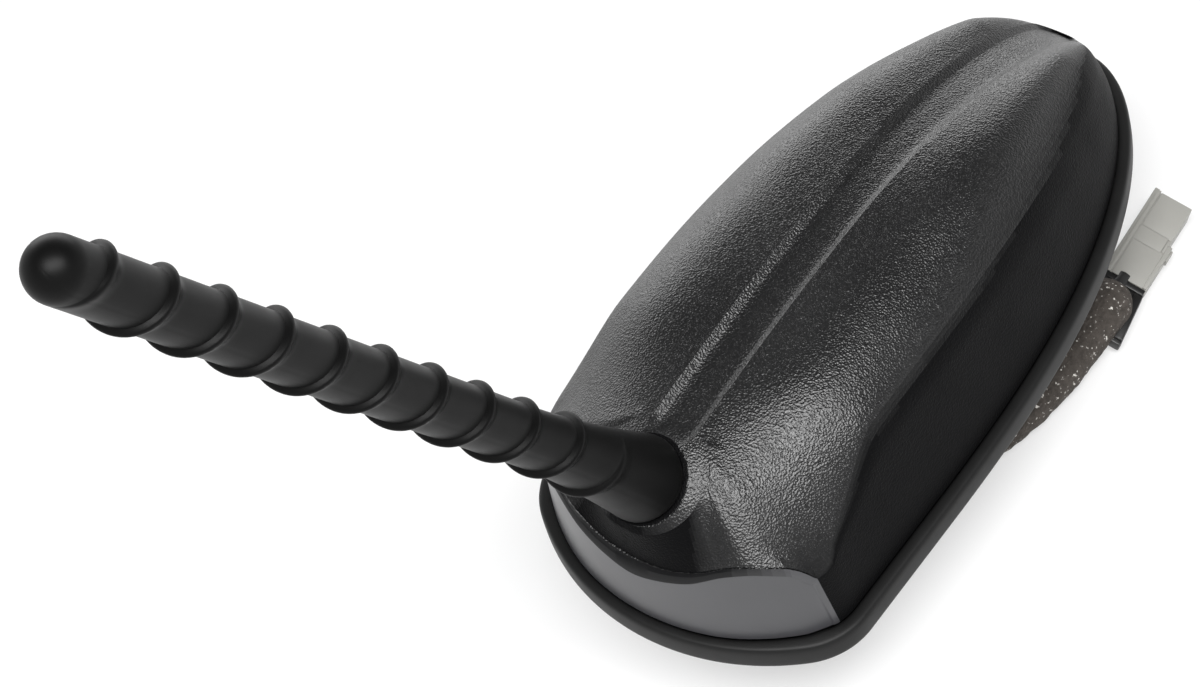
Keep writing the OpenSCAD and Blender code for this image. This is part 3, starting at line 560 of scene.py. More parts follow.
def plug_block(name, low, high, rounding=0.2, lean=0):
    """A block between two corners of the plug's frame; its low end may lean aside."""
    deselect_all()
    bpy.ops.mesh.primitive_cube_add(size=1)
    block = named(bpy.context.object, name)
    for vertex in block.data.vertices:
        x, y, z = (lerp(a, b, c + 0.5) for a, b, c in zip(low, high, vertex.co))
        vertex.co = on_plug(x, y + lean * (high[0] - x) / (high[0] - low[0]), z) * MM
    return round_edges(block, rounding) if rounding else block


# Blocks that make up the plug's outside and its black retainer, a plate across the rear end
# with an arm along the foam: low and high corner, width of the edge rounding, lean
LONG, WIDE, HIGH = PLUG_LENGTH, PLUG_HALF_WIDTH, PLUG_HEIGHT
PLUG_BLOCKS = {
    "top_front": ((13.2, -WIDE, -0.6), (LONG - 0.05, 3.0, 0), 0.12),
    "top_middle": ((9.4, -3.3, -0.6), (13.5, 3.0, 0), 0.05),
    "top_rear": ((0.05, -WIDE, -0.6), (9.7, 3.0, 0), 0.12),
    "top_side": ((0.05, 3.3, -0.6), (LONG + 0.3, WIDE, -0.12), 0.1),
    "rail": ((0.6, WIDE - 0.3, -3.6), (LONG + 0.9, WIDE + 0.8, -0.75), 0.18),
    "latch": ((0.4, -WIDE - 0.9, -4.3), (12.2, -WIDE + 0.3, -0.3), 0.2),
    "latch_tooth": ((9.2, -WIDE - 1.3, -3.2), (12.0, -WIDE - 0.6, -1.2), 0.18),
    "latch_pad": ((9.9, -WIDE + 0.12, -0.6), (12.9, -3.45, -0.05), 0.06),
}
CLIP_BLOCKS = {
    "plate": ((-1.3, -WIDE - 0.9, -HIGH + 0.2), (0.1, WIDE + 0.2, -0.25), 0.25),
    "arm": ((-12.5, -WIDE - 1.0, -4.4), (-0.6, -WIDE + 1.2, -0.9), 0.3, -1.3),
    "toe": ((-13.4, -WIDE - 2.3, -4.2), (-11.8, -WIDE + 1.3, -1.6), 0.3),
}
MOUTH = ((LONG - 11, -3.2, -4.7), (LONG + 1, 3.2, -1.0))
BLOCK_SMOOTHING = 40


def built_up(name, blocks, core=()):
    parts = list(core) + [plug_block(part, *form) for part, form in blocks.items()]
    return join(name, [smooth(part, BLOCK_SMOOTHING) for part in parts])


def plug_core():
    core = plug_block("connector_body", (0, -WIDE, -HIGH), (LONG, WIDE, -0.35), 0)
    return round_edges(cut(core, plug_block("mouth", *MOUTH, 0)), 0.18)


connector = built_up("connector_body", PLUG_BLOCKS, [plug_core()])
clip = built_up("clip_arm", CLIP_BLOCKS)

# ---- plan outline
NOSE_STEPS, SIDE_STEPS, CORNER_STEPS, TAIL_STEPS = 16, 4, 8, 10
HALF_STEPS = NOSE_STEPS + SIDE_STEPS + CORNER_STEPS + TAIL_STEPS
CORNER_REACH = TAIL_RADIUS - CORNER_RADIUS
CORNER_TURN = math.degrees(math.asin((HALF_WIDTH - CORNER_RADIUS) / CORNER_REACH))
TAIL_CENTRE = TAIL_RADIUS - TAIL_REACH
CORNER_X = TAIL_CENTRE - CORNER_REACH * deg_cos(CORNER_TURN)


def half_point(step, inset):
    """Plan outline drawn in by an inset, from the nose (step 0) back along the -y side."""
    if step < NOSE_STEPS:
        part = deg_cos(90 * step / NOSE_STEPS)
        x = TAPER_START + (NOSE_REACH - inset - TAPER_START) * part
        return x, -(HALF_WIDTH - inset) * (1 - part ** TAPER_POWER) ** TAPER_ROOT
    step -= NOSE_STEPS
    if step < SIDE_STEPS:
        return lerp(TAPER_START, CORNER_X, step / SIDE_STEPS), inset - HALF_WIDTH
    step -= SIDE_STEPS
    if step < CORNER_STEPS:
        turn = 90 + (90 - CORNER_TURN) * step / CORNER_STEPS
        radius = CORNER_RADIUS - inset
        return (CORNER_X + radius * deg_cos(turn),
                CORNER_RADIUS - HALF_WIDTH - radius * deg_sin(turn))
    turn = CORNER_TURN * (1 - (step - CORNER_STEPS) / TAIL_STEPS)
    radius = TAIL_RADIUS - inset
    return TAIL_CENTRE - radius * deg_cos(turn), -radius * deg_sin(turn)


# ---- skin of the cover
SKIRT_TOP, SKIRT_FOOT, SKIRT_DRAW = 6, 5.6, 0.35
NOSE_END = NOSE_REACH - GASKET_LIP
CREST_FALL, CREST_FALL_REACH = 3.2, 51.6
CREST_NOSE_POWER, CREST_NOSE_ROOT = 1.75, 0.48
SHOULDER_PEAK_X, SHOULDER_NOSE, SHOULDER_NOSE_POWER = -20, 14, 2.1
SHOULDER_TAIL_FALL, SHOULDER_TAIL_REACH, SHOULDER_TAIL_POWER = 3, 40, 2.2
CREASE_STEP = NOSE_STEPS + SIDE_STEPS + 3
RAIL_STOP = NOSE_STEPS + SIDE_STEPS - 1
SEAT_RING, SEAT_RING_REAR, SEAT_DROP, SEAT_RIM, SEAT_RIM_DROP = 12.2, 10, 2.2, 7.6, 0.2
RAIL_TURN, CREASE_TURN, DECK_TURN = 24, 44, 68
CROWN_BULGE, CROWN_BULGE_NOSE = 4.4, 6.6
BULGE_NOSE_X, BULGE_NONE_Y, BULGE_FULL_OVER, BULGE_SKEW = 30, 5, 12, 0.75
RAIL_NOSE_SHARE, RAIL_WIDTH_SHARE, FLOOR_WIDTH_SHARE = 0.965, 0.78, 0.58
CORNER_SWELL, LEAN_FULL_HEIGHT, FLANK_ROUND = 1.4, 18, 1.4

# The rear: how far the outline's columns slide round the corner as they rise, and the lean
# of the corner crease
CREASE_SLIDE, CREASE_SLIDE_FADE, CREASE_LEAN = 1.26, 8, 0.9
CREASE_HEIGHT = 21.6
# Heights along the rear, at steps of the outline: upper edge of the panel, and edge of the
# crown over the panel's smooth rolled border
BROW_STEPS = [23, 24, 25, 26, 28, 30, 31, 32, 33, 34, 36, 38]
PANEL_TOPS = [21.3, 20.2, 21.6, 23.4, 25.2, 26.4, 26.3, 25.6, 24.0, 22.3, 20.3, 19.0]
CROWN_EDGES = [21.6, 23.6, 25.1, 26.1, 27.6, 28.5, 28.4, 27.5, 25.9, 24.5, 22.9, 22.2]
PANEL_FOOT, PANEL_FOOT_TAIL, PANEL_DRAFT = 3.0, 2.0, 0.9
PANEL_RECESS, BORDER_FROM, BORDER_OVER = 0.22, 0.7, 0.35
BAND_ROLL, BAND_ROLL_TAIL, GROOVE_DEPTH = 0.3, 1.5, 0.45
DECK_STEP = 30.6


def along_list(steps, values, step):
    """A value read between the entries of a list, smoothly."""
    for k in range(len(steps) - 1):
        if step <= steps[k + 1]:
            a, b = steps[k], steps[k + 1]
            slope_a = ((values[k + 1] - values[max(0, k - 1)])
                       / (steps[k + 1] - steps[max(0, k - 1)]))
            after = min(len(steps) - 1, k + 2)
            slope_b = (values[after] - values[k]) / (steps[after] - steps[k])
            if after == k + 1:
                slope_b = 0
            t = (step - a) / (b - a)
            span = b - a
            return (values[k] * (1 - 3 * t * t + 2 * t ** 3) + values[k + 1] * (3 * t * t - 2 * t ** 3)
                    + slope_a * span * t * (1 - t) ** 2 - slope_b * span * t * t * (1 - t))
    return values[-1]


def crest(x):
    """Height of the crest line, from nose to tail."""
    if x > 0:
        share = 1 - min(1, x / NOSE_END) ** CREST_NOSE_POWER
        return SKIRT_TOP + (CREST_HEIGHT - SKIRT_TOP) * share ** CREST_NOSE_ROOT
    return CREST_HEIGHT - CREST_FALL * (x / CREST_FALL_REACH) ** 2


def shoulder(x):
    """Height of the edge between flank and crown."""
    if x > SHOULDER_PEAK_X:
        part = min(1, (x - SHOULDER_PEAK_X) / (NOSE_END - SHOULDER_PEAK_X))
        return SHOULDER_NOSE + (SHOULDER_HEIGHT - SHOULDER_NOSE) * (1 - part ** SHOULDER_NOSE_POWER)
    part = (SHOULDER_PEAK_X - x) / SHOULDER_TAIL_REACH
    return SHOULDER_HEIGHT - SHOULDER_TAIL_FALL * part ** SHOULDER_TAIL_POWER


def corner_part(step):
    """0 up to the end of the channel's rail, 1 at the corner crease and behind it."""
    return clamp((step - RAIL_STOP) / (CREASE_STEP - RAIL_STOP))


def about_mast(radius, turn, height):
    """A point about the mast's axis; turn 0 faces the nose, height is above the foot."""
    along = radius * deg_cos(turn)
    return Vector((-FOOT_BACK + along * math.cos(MAST_LEAN) - height * math.sin(MAST_LEAN),
                   -radius * deg_sin(turn),
                   FOOT_HEIGHT + along * math.sin(MAST_LEAN) + height * math.cos(MAST_LEAN)))


def seat_turn(step):
    """Turn about the mast at which an outline step's column meets the seat's ring."""
    if step <= CREASE_STEP:
        return lerp(RAIL_TURN, CREASE_TURN, corner_part(step))
    if step < DECK_STEP:
        return lerp(CREASE_TURN, DECK_TURN, (step - CREASE_STEP) / (DECK_STEP - CREASE_STEP))
    return lerp(DECK_TURN, 180, (step - DECK_STEP) / (HALF_STEPS - DECK_STEP))


RAIL_BACK = (about_mast(SEAT_RING, RAIL_TURN, -SEAT_DROP).x
             / half_point(RAIL_STOP, GASKET_LIP + FLANK_LEAN)[0])


def swell(t):
    """Rise of the crown between edge and rail, 0 at both."""
    return deg_sin(180 * max(0.0, t) ** BULGE_SKEW)


def seat_edge(step, wall=0):
    rear = clamp((step - DECK_STEP) / (HALF_STEPS - DECK_STEP))
    return about_mast(lerp(SEAT_RING, SEAT_RING_REAR, rear) - wall, seat_turn(step), -SEAT_DROP - wall)


def flank_parts(step, wall=0):
    """Foot, edge and rail of the flank's and crown's section at a step of the outline."""
    foot = half_point(step, GASKET_LIP + wall)
    edge_x = half_point(step, GASKET_LIP)[0]
    lean = FLANK_LEAN * min(1, (shoulder(edge_x) - SKIRT_TOP) / LEAN_FULL_HEIGHT)
    lean += CORNER_SWELL * corner_part(step)
    edge = Vector((*half_point(step, GASKET_LIP + wall + lean), shoulder(edge_x) - wall))
    rail_x = edge.x * (RAIL_NOSE_SHARE if edge.x > 0 else RAIL_BACK)
    if step <= RAIL_STOP:
        rail = Vector((rail_x, -min(CHANNEL_WIDTH / 2, abs(edge.y) * RAIL_WIDTH_SHARE),
                       crest(rail_x) - wall))
    else:
        rail = seat_edge(step, wall)
    bulge = lerp(CROWN_BULGE, CROWN_BULGE_NOSE, clamp(edge.x / BULGE_NOSE_X))
    bulge *= clamp((abs(edge.y) - BULGE_NONE_Y) / BULGE_FULL_OVER)
    return foot, edge, rail, bulge


def flank_at(foot, edge, up):
    return Vector((lerp(foot[0], edge.x, up * up), lerp(foot[1], edge.y, up ** FLANK_ROUND),
                   lerp(SKIRT_TOP, edge.z, up)))


def crown_at(edge, rail, bulge, t):
    return edge.lerp(rail, t) + Vector((0, 0, bulge * swell(t)))


def slid(step, z):
    """Step of the outline under a column's point: the corner columns lean round the corner."""
    if step < CREASE_STEP:
        share = crease_share(step)
    else:
        share = ease(1 - (step - CREASE_STEP) / CREASE_SLIDE_FADE)
    return step + CREASE_SLIDE * share * (z - SKIRT_TOP) / (CREASE_HEIGHT - SKIRT_TOP)


def rear_point(step, inset, z):
    return Vector((*half_point(min(HALF_STEPS, slid(step, z)), inset), z))


def crease_inset(z):
    return GASKET_LIP + CREASE_LEAN * ((z - SKIRT_TOP) / (CREASE_HEIGHT - SKIRT_TOP)) ** 2


# How the crown's curve is lifted and pushed out, at steps of the outline from the crease on
LIFT_STEPS = [23, 26, 28.5, 30.6, 31.8, 35, 38]
OUT_LOW = [1.0, 0.5, 0.2, 0, 0, 0, 0]
UP_LOW = [4.6, 2.4, 0.9, 0.7, -0.7, -1.3, -1.3]
OUT_HIGH = [0.6, 0.3, 0, 0, 0, 0, 0]
UP_HIGH = [5.2, 3.0, 1.3, 1.1, -0.7, -1.6, -1.9]


def curve_over(step, low, high, t):
    """A point of the crown's curve at a step, from its lower edge up to the seat; each third
    is lifted and pushed outward from the straight line by the amounts listed."""
    out_low, up_low, out_high, up_high = (straight_along(LIFT_STEPS, values, step)
                                          for values in (OUT_LOW, UP_LOW, OUT_HIGH, UP_HIGH))
    out = Vector((low.x - high.x, low.y - high.y, 0)).normalized()
    first = low.lerp(high, 1 / 3) + out * out_low + Vector((0, 0, up_low))
    second = low.lerp(high, 2 / 3) + out * out_high + Vector((0, 0, up_high))
    s = 1 - t
    return low * s ** 3 + first * 3 * s * s * t + second * 3 * s * t * t + high * t ** 3


# Rows of the grid: shares of the height of flank and panel, rows of the soft edge and of the
# crown, and shares across the channel's wall and floor and down the seat
FLANK_ROWS = [0, 0.04, 0.12, 0.2, 0.28, 0.36, 0.44, 0.52, 0.6, 0.68, 0.76, 0.82, 0.87]
PANEL_ROWS = [0, 0.03, 0.1, 0.2, 0.3, 0.4, 0.5, 0.6, 0.7, 0.8, 0.88, 0.94, 1]
EDGE_ROWS = 6
CROWN_ROWS = 24
CROWN_FROM, CROWN_CROWDING = 0.08, 1.2
# Height on the curve of one edge row of a corner column, and of its first crown row
CORNER_EDGE_ROW, CORNER_CROWN_FROM = 0.002, 0.02
WALL_PARTS = (0.1, 0.5, 0.9)
FLOOR_PARTS = (0.97, 0.5, 0)
SEAT_PARTS = (0.04, 0.4, 0.8, 1)


def soft_corner(before, corner, after, count):
    """Points of a rounded corner, between the two points it leaves and meets."""
    return [before * (1 - t) ** 2 + corner * 2 * t * (1 - t) + after * t * t
            for t in (k / (count + 1) for k in range(1, count + 1))]


def seat_rows(step):
    """From the ring down the conical seat to the foot's place, and across to the middle."""
    ring, rim = seat_edge(step), about_mast(SEAT_RIM, seat_turn(step), -SEAT_RIM_DROP)
    rows = [ring.lerp(rim, t) for t in SEAT_PARTS]
    return rows + [Vector((rim.x, rim.y * k, rim.z)) for k in (0.5, 0)]


def crown_rows(step, start, seat, first=0.0):
    """The crown's rows on its curve, closer together toward the lower edge."""
    parts = [(k / (CROWN_ROWS - 1)) ** CROWN_CROWDING for k in range(CROWN_ROWS)]
    return [curve_over(step, start, seat, lerp(first, 1, part)) for part in parts]


def over_crease(step, start, seat):
    """The edge and crown rows of a column at or near the corner crease, from its lower end."""
    rows = [curve_over(step, start, seat, CORNER_EDGE_ROW * k) for k in range(1, EDGE_ROWS + 1)]
    return rows + crown_rows(step, start, seat, CORNER_CROWN_FROM)


SIDE_STEP_LENGTH = (TAPER_START - CORNER_X) / SIDE_STEPS
CORNER_STEP_LENGTH = math.radians(90 - CORNER_TURN) * (CORNER_RADIUS - GASKET_LIP) / CORNER_STEPS
BLEND_FROM = NOSE_STEPS + 0.5


def crease_share(step):
    """0 along the side, rising by length along the outline to 1 at the corner crease."""
    corner = NOSE_STEPS + SIDE_STEPS
    left = (max(0, corner - step) * SIDE_STEP_LENGTH
            + (CREASE_STEP - max(step, corner)) * CORNER_STEP_LENGTH)
    whole = ((corner - BLEND_FROM) * SIDE_STEP_LENGTH
             + (CREASE_STEP - corner) * CORNER_STEP_LENGTH)
    return ease(1 - left / whole)


def flank_column(step):
    """A column up to the crease: flank, soft edge, crown, and channel or seat."""
    foot, edge, rail, bulge = flank_parts(step)
    points = [flank_at(foot, edge, up) for up in FLANK_ROWS]
    points += soft_corner(points[-1], edge, crown_at(edge, rail, bulge, CROWN_FROM), EDGE_ROWS)
    points += [crown_at(edge, rail, bulge, lerp(CROWN_FROM, 1, k / (CROWN_ROWS - 1)))
               for k in range(CROWN_ROWS)]
    foot_point = Vector((*half_point(step, GASKET_LIP + SKIRT_DRAW), SKIRT_FOOT))
    share = crease_share(step)
    if share > 0:
        heights = [lerp(SKIRT_TOP, CREASE_HEIGHT, up / FLANK_ROWS[-1]) for up in FLANK_ROWS]
        corner = [rear_point(step, crease_inset(z), z) for z in heights]
        corner += over_crease(step, corner[-1], rail)
        points = [a.lerp(b, share) for a, b in zip(points, corner)]
    if step > RAIL_STOP:
        return [foot_point] + points + seat_rows(step)
    floor = Vector((rail.x, -min(CHANNEL_FLOOR / 2, abs(edge.y) * FLOOR_WIDTH_SHARE),
                    rail.z - CHANNEL_DEPTH))
    points += [rail.lerp(floor, t) for t in WALL_PARTS]
    return [foot_point] + points + [Vector((rail.x, floor.y * k, floor.z)) for k in FLOOR_PARTS]


def panel_foot(step):
    """Inset of the panel's foot from the gasket's outline."""
    return lerp(PANEL_FOOT, PANEL_FOOT_TAIL, ease((step - 25) / 9))


def panel_inset(step, z):
    """Inset of the smooth rear: flush at the crease, drawn in past its border strip."""
    share = (z - SKIRT_TOP) / (CREASE_HEIGHT - SKIRT_TOP)
    flat = panel_foot(step) + PANEL_DRAFT * share
    return lerp(crease_inset(z), flat, ease((step - CREASE_STEP) / 3))


# Rows of the rolled band, as shares of its height and its roll, then of the groove, as shares
# of the groove's depth below the crown's edge and inward; on the crown's edge GROOVE_LIP
BAND_ROWS = [(0.35, 0.12), (0.7, 0.45)]
GROOVE_ROWS = [(0.7, 0), (0.55, 1), (0.25, 1)]
GROOVE_LIP, PANEL_EDGE = 0.35, 0.08


def tail_column(step):
    """A column behind the crease: panel, rolled band, groove, crown and seat."""
    top, crown_edge = (along_list(BROW_STEPS, v, step) for v in (PANEL_TOPS, CROWN_EDGES))
    inside = PANEL_RECESS * ease((step - CREASE_STEP - BORDER_FROM) / BORDER_OVER)
    rolled = lerp(BAND_ROLL, BAND_ROLL_TAIL, ease((step - 29) / 5)) * min(1, (crown_edge - top) / 3)

    def on_rear(z, deeper):
        return rear_point(step, panel_inset(step, z) + deeper, z)

    points = [rear_point(step, panel_foot(step) + SKIRT_DRAW + inside, SKIRT_FOOT)]
    points += [on_rear(lerp(SKIRT_TOP, top, up), inside) for up in PANEL_ROWS]
    high = crown_edge - top
    groove = min(GROOVE_DEPTH, high * 0.3)
    points.append(on_rear(top + min(PANEL_EDGE, high * 0.05), 0))
    points += [on_rear(top + high * up, rolled * out) for up, out in BAND_ROWS]
    points += [on_rear(crown_edge - groove * down, rolled + groove * deep)
               for down, deep in GROOVE_ROWS]
    start = on_rear(crown_edge, rolled + groove * GROOVE_LIP)
    return points + crown_rows(step, start, seat_edge(step)) + seat_rows(step)


# Steps of the outline at which the grid has a column: four to a step, closer at the crease's
# border strip and at the deck's edge
FINE = 4
flank_steps = [k / FINE for k in range(CREASE_STEP * FINE + 1)]
tail_steps = [CREASE_STEP + k for k in (0.06, 0.3, 0.6, 0.8, 0.88, 0.97, 1.05, 1.25)]
tail_steps += [CREASE_STEP + 1.5 + k / FINE for k in range(24)]
tail_steps += [DECK_STEP - 0.2, DECK_STEP - 0.1, DECK_STEP + 0.1, DECK_STEP + 0.2]
tail_steps += [DECK_STEP + 0.35 + k / FINE for k in range(30)]
tail_steps = [s for s in tail_steps if s < HALF_STEPS - 0.1] + [HALF_STEPS]
half_columns = [flank_column(s) for s in flank_steps] + [tail_column(s) for s in tail_steps]
SMOOTH_ROWS = len(PANEL_ROWS) + 4
CROWN_START = 1 + len(PANEL_ROWS) + EDGE_ROWS
EVEN_REACH, EVEN_EDGE_ROWS = 4.5, 5


def even_crown(columns):
    """Evens the crown's rows round the corner, from the side up to the deck's edge."""
    first = next(k for k, s in enumerate(flank_steps) if s > NOSE_STEPS - 2)
    last = len(flank_steps) + next(k for k, s in enumerate(tail_steps) if s >= DECK_STEP)
    for row in range(CROWN_START + 1, CROWN_START + CROWN_ROWS - 1):
        line = [columns[c][row] for c in range(first, last + 1)]
        reach = [0.0]
        for a, b in zip(line, line[1:]):
            reach.append(reach[-1] + (b - a).length)
        from_rows = min(row - CROWN_START, CROWN_START + CROWN_ROWS - 1 - row)
        share = ease(from_rows / EVEN_EDGE_ROWS)
        for k in range(1, len(line) - 1):
            spread = min(EVEN_REACH, 0.5 * min(reach[k], reach[-1] - reach[k]) + 0.01)
            total, weight = Vector((0, 0, 0)), 0.0
            for j in range(len(line)):
                off = (reach[j] - reach[k]) / spread
                if abs(off) < 3:
                    step_length = (reach[min(j + 1, len(line) - 1)] - reach[max(j - 1, 0)]) / 2
                    w = math.exp(-off * off / 2) * (step_length + 1e-6)
                    total += line[j] * w
                    weight += w
            columns[first + k][row] = line[k].lerp(total / weight, share)


even_crown(half_columns)


# Extra wall inside the nose, and inside the rear corner, and the steps over which each fades
NOSE_WALL, NOSE_WALL_FADE, CORNER_WALL, CORNER_WALL_FADE = 2.6, 7, 6.0, 8


def cavity_column(step):
    """The inside of the shell, coarser: foot, flank, edge, crown and seat."""
    wall = (COVER_WALL + NOSE_WALL * clamp(1 - step / NOSE_WALL_FADE)
            + CORNER_WALL * ease(1 - abs(step - CREASE_STEP + 1) / CORNER_WALL_FADE))
    foot, edge, rail, bulge = flank_parts(min(step, CREASE_STEP), wall)
    if step <= CREASE_STEP:
        points = [Vector((*foot, SKIRT_FOOT - 1))] + [flank_at(foot, edge, up) for up in (0, 0.5, 1)]
    else:
        soft = ease((step - CREASE_STEP) / 6)
        top = along_list(BROW_STEPS, PANEL_TOPS, step) - wall
        panel = half_point(step, panel_foot(step) + wall + 1)
        edge = Vector((*half_point(step, GASKET_LIP + wall + lerp(FLANK_LEAN, 1.5, soft)),
                       lerp(edge.z, top + 3, soft)))
        rail, bulge = seat_edge(step, wall), lerp(bulge, -1.5, ease((step - CREASE_STEP) / 9))
        points = [Vector((*panel, z)) for z in (SKIRT_FOOT - 1, top * 0.5, top)] + [edge]
    points += [crown_at(edge, rail, bulge, k / 6) for k in range(1, 7)]
    drop = Vector((0, 0, CHANNEL_DEPTH))
    return points + [Vector((rail.x, rail.y * k, rail.z)) - drop for k in (0.9, 0.5, 0)]


def both_sides(columns):
    return columns + [[mirrored(p) for p in column] for column in reversed(columns)]


def mast_cylinder(name, radius, low, high):
    """A round bar on the mast's axis between two heights above the foot."""
    deselect_all()
    bpy.ops.mesh.primitive_cylinder_add(vertices=96, radius=radius * MM, depth=(high - low) * MM,
                                        location=about_mast(0, 0, (low + high) / 2) * MM,
                                        rotation=(0, -MAST_LEAN, 0))
    return settle(named(bpy.context.object, name))


# The mast's pocket and the boss under its foot, with heights from the foot
SEAT_GAP, POCKET_TOP, SEAT_BOSS_D, SEAT_BOSS_LOW = 0.8, 20, FOOT_D + 1, -9
SOCKET_R, SOCKET_LOW, FLANGE_R, FLANGE_LOW, HOLES_TOP = 5.1, -12, 6.85, -2.7, 2
# Upward part of a face's normal below which it takes the next duller grain: steps of painted shade on
# steeper faces
SHADE_STEEPNESS = [lerp(0.74, 0.46, k / (GRAIN_SHADE_STEPS - 2)) for k in range(GRAIN_SHADE_STEPS - 1)]
SMOOTH_FINISH = GRAIN_SHADE_STEPS
# Steps of the outline from which the rolled band takes its next, darker painted shade
BAND_PAINTED_SHADES_FROM = [26.5 + 0.9 * k for k in range(6)]
# Least such part for the faces in and beside the channel, so that its walls shine with its floor: a
# painted highlight that keeps them out of the painted shade
CHANNEL_SHOWN = 0.68


def make_cover():
    """The shell: skin less cavity, with the mast's pocket, and the boss that fills its seat."""
    ring = both_sides(half_columns)
    first_tail, last_tail = len(flank_steps) - 1, len(ring) - len(flank_steps)

    def smooth_part(column, row):
        """Number of the finish of a face: grain, the panel's painted light grey, or one of the band's
        painted shades.
        """
        if row >= SMOOTH_ROWS or not first_tail <= column < last_tail:
            return 0
        along = min(column, len(ring) - 1 - column)
        step = (HALF_STEPS if along >= len(half_columns) - 1
                else tail_steps[along - first_tail - 1])
        if row <= len(PANEL_ROWS):
            return SMOOTH_FINISH
        return SMOOTH_FINISH + sum(step > start for start in BAND_PAINTED_SHADES_FROM)

    skin = shaped_grid("cover_skin", len(ring), len(ring[0]), lambda c, r: ring[c][r],
                       (*cover_grain_shades, cover_smooth_lit, *cover_band_shades), smooth_part)
    close_and_face_out(skin)
    for face in skin.data.polygons:
        if face.material_index < SMOOTH_FINISH:
            # the nose's steep faces and the channel take shinier grains, painted light; other steep
            # faces take duller ones, painted shade
            x, y, z = face.normal
            shown = max(z, 1 - 2 * abs(y)) if x > 0.3 else z
            if abs(face.center.y) < CHANNEL_WIDTH / 2 * MM and face.center.x > TAPER_START * MM:
                shown = max(shown, CHANNEL_SHOWN)
            face.material_index = sum(shown < limit for limit in SHADE_STEEPNESS)
    cap_open_edges(skin)
    inner_ring = both_sides([cavity_column(s) for s in range(HALF_STEPS + 1)])
    cavity = shaped_grid("cavity", len(inner_ring), len(inner_ring[0]), lambda c, r: inner_ring[c][r])
    close_and_face_out(cavity)
    cap_open_edges(cavity)
    close_and_face_out(cavity)
    cut(skin, cavity,
        mast_cylinder("pocket", FOOT_D / 2 + SEAT_GAP, -SEAL_THICKNESS - 0.05, POCKET_TOP))
    boss = mast_cylinder("seat_boss", SEAT_BOSS_D / 2, SEAT_BOSS_LOW, -SEAL_THICKNESS)
    cut(boss, mast_cylinder("socket_hole", SOCKET_R, SOCKET_LOW, HOLES_TOP),
        mast_cylinder("flange_hole", FLANGE_R, FLANGE_LOW, HOLES_TOP))
    round_edges(boss, 0.2, 40)
    boss.data.materials.append(cover_grain_shades[-1])
    return join("cover_skin", [skin, boss])


cover = smooth(make_cover(), 28)

# ---- gasket
# Section of the rim, as inset from the outline and height, from the web's top round
# the outside to the web's underside
RIM_SECTION = [(5.6, 1.5), (3.15, 1.5), (3.1, 1.7), (3.1, 4.75), (3.02, 5.1), (2.8, 5.3), (2.4, 5.4),
               (1.7, 5.4), (1.1, 5.34), (0.7, 5.22), (0.42, 5.02), (0.22, 4.72), (0.1, 4.3),
               (0.03, 3.6), (0, 2.4), (0, 1), (0.04, 0.4), (0.16, 0.12), (0.4, 0), (5.6, 0)]
NECK_FRONT, NECK_BACK, NECK_WIDTH, NECK_GAP = 9, 34, 15, 0.4


def neck_point(turn):
    """The neck's hole through the web, at a turn from the nose."""
    r = NECK_WIDTH / 2 + NECK_GAP
    x, y = deg_cos(turn), deg_sin(turn)
    centre = NECK_FRONT - NECK_WIDTH / 2 if x >= 0 else NECK_WIDTH / 2 - NECK_BACK
    return centre + r * x, r * y


# Inset of the rim's inner side, limit of the points that move with it, gap to the panel
RIM_POCKET, RIM_INNER, PANEL_GAP = 3.1, 3.3, 0.3


def rim_drawn_in(step):
    """Share by which the rim is narrower, where the rear panel stands closer to its edge."""
    share = ease((step - CREASE_STEP) / 3)
    return share * (1 - (panel_foot(step) + PANEL_RECESS + PANEL_GAP) / RIM_POCKET)


def make_gasket():
    """Rim and web as one sheet bent round its section, with the neck's hole in the web."""
    steps = [k / FINE for k in range(HALF_STEPS * FINE + 1)]
    outline = [(s, -1) for s in steps] + [(s, 1) for s in reversed(steps)]
    section = RIM_SECTION + [None, None]
    rows = len(section) + 1

    def place(column, row):
        step, side = outline[column]
        row %= len(section)
        if section[row]:
            inset, z = section[row]
            if inset < RIM_INNER:
                inset *= 1 - rim_drawn_in(step)
            x, y = half_point(step, inset)
            return x, -side * y if side > 0 else y, z
        # the two rows of the neck's edge, each point straight inward from the rim's
        turn = 360 - column / (len(outline) - 1) * 360
        return (*neck_point(turn), 0 if row == len(section) - 2 else GASKET_WEB)

    rim = shaped_grid("gasket_rim", len(outline), rows, place)
    return smooth(close_and_face_out(rim), 35)


gasket = make_gasket()

# ---- mast
FLARE_POWER = 1.7
FOOT_EDGE = 1
RIB_HALF = (RIB_D - MAST_D) / 2
# Section of the rib: height from its crest line toward the tip, and share of its rise
RIB_OFFSETS = [-3.6, -3.0, -2.4, -1.8, -1.2, -0.7, -0.35, 0, 0.3, 0.55, 0.75, 0.95, 1.15, 1.35]
RIB_SHARES = [0, 0.03, 0.13, 0.31, 0.55, 0.78, 0.92, 1, 0.98, 0.88, 0.66, 0.33, 0.04, 0]
MAST_COLUMNS, PLAIN_ROWS, TIP_ROWS = 96, 8, 14
FOOT_ROUND, FOOT_ROW, FOOT_ROWS = 0.4, 1.2, 8


def core_radius(height):
    """Radius of the rod under its rib."""
    if height > MAST_LENGTH - MAST_D / 2:
        over = clamp((height - MAST_LENGTH + MAST_D / 2) / (MAST_D / 2))
        return MAST_D / 2 * math.sqrt(max(0.0, 1 - over * over))
    part = clamp((height - FOOT_EDGE) / (FLARE_LENGTH - FOOT_EDGE))
    return MAST_D / 2 + (FOOT_D - MAST_D) / 2 * (1 - part) ** FLARE_POWER


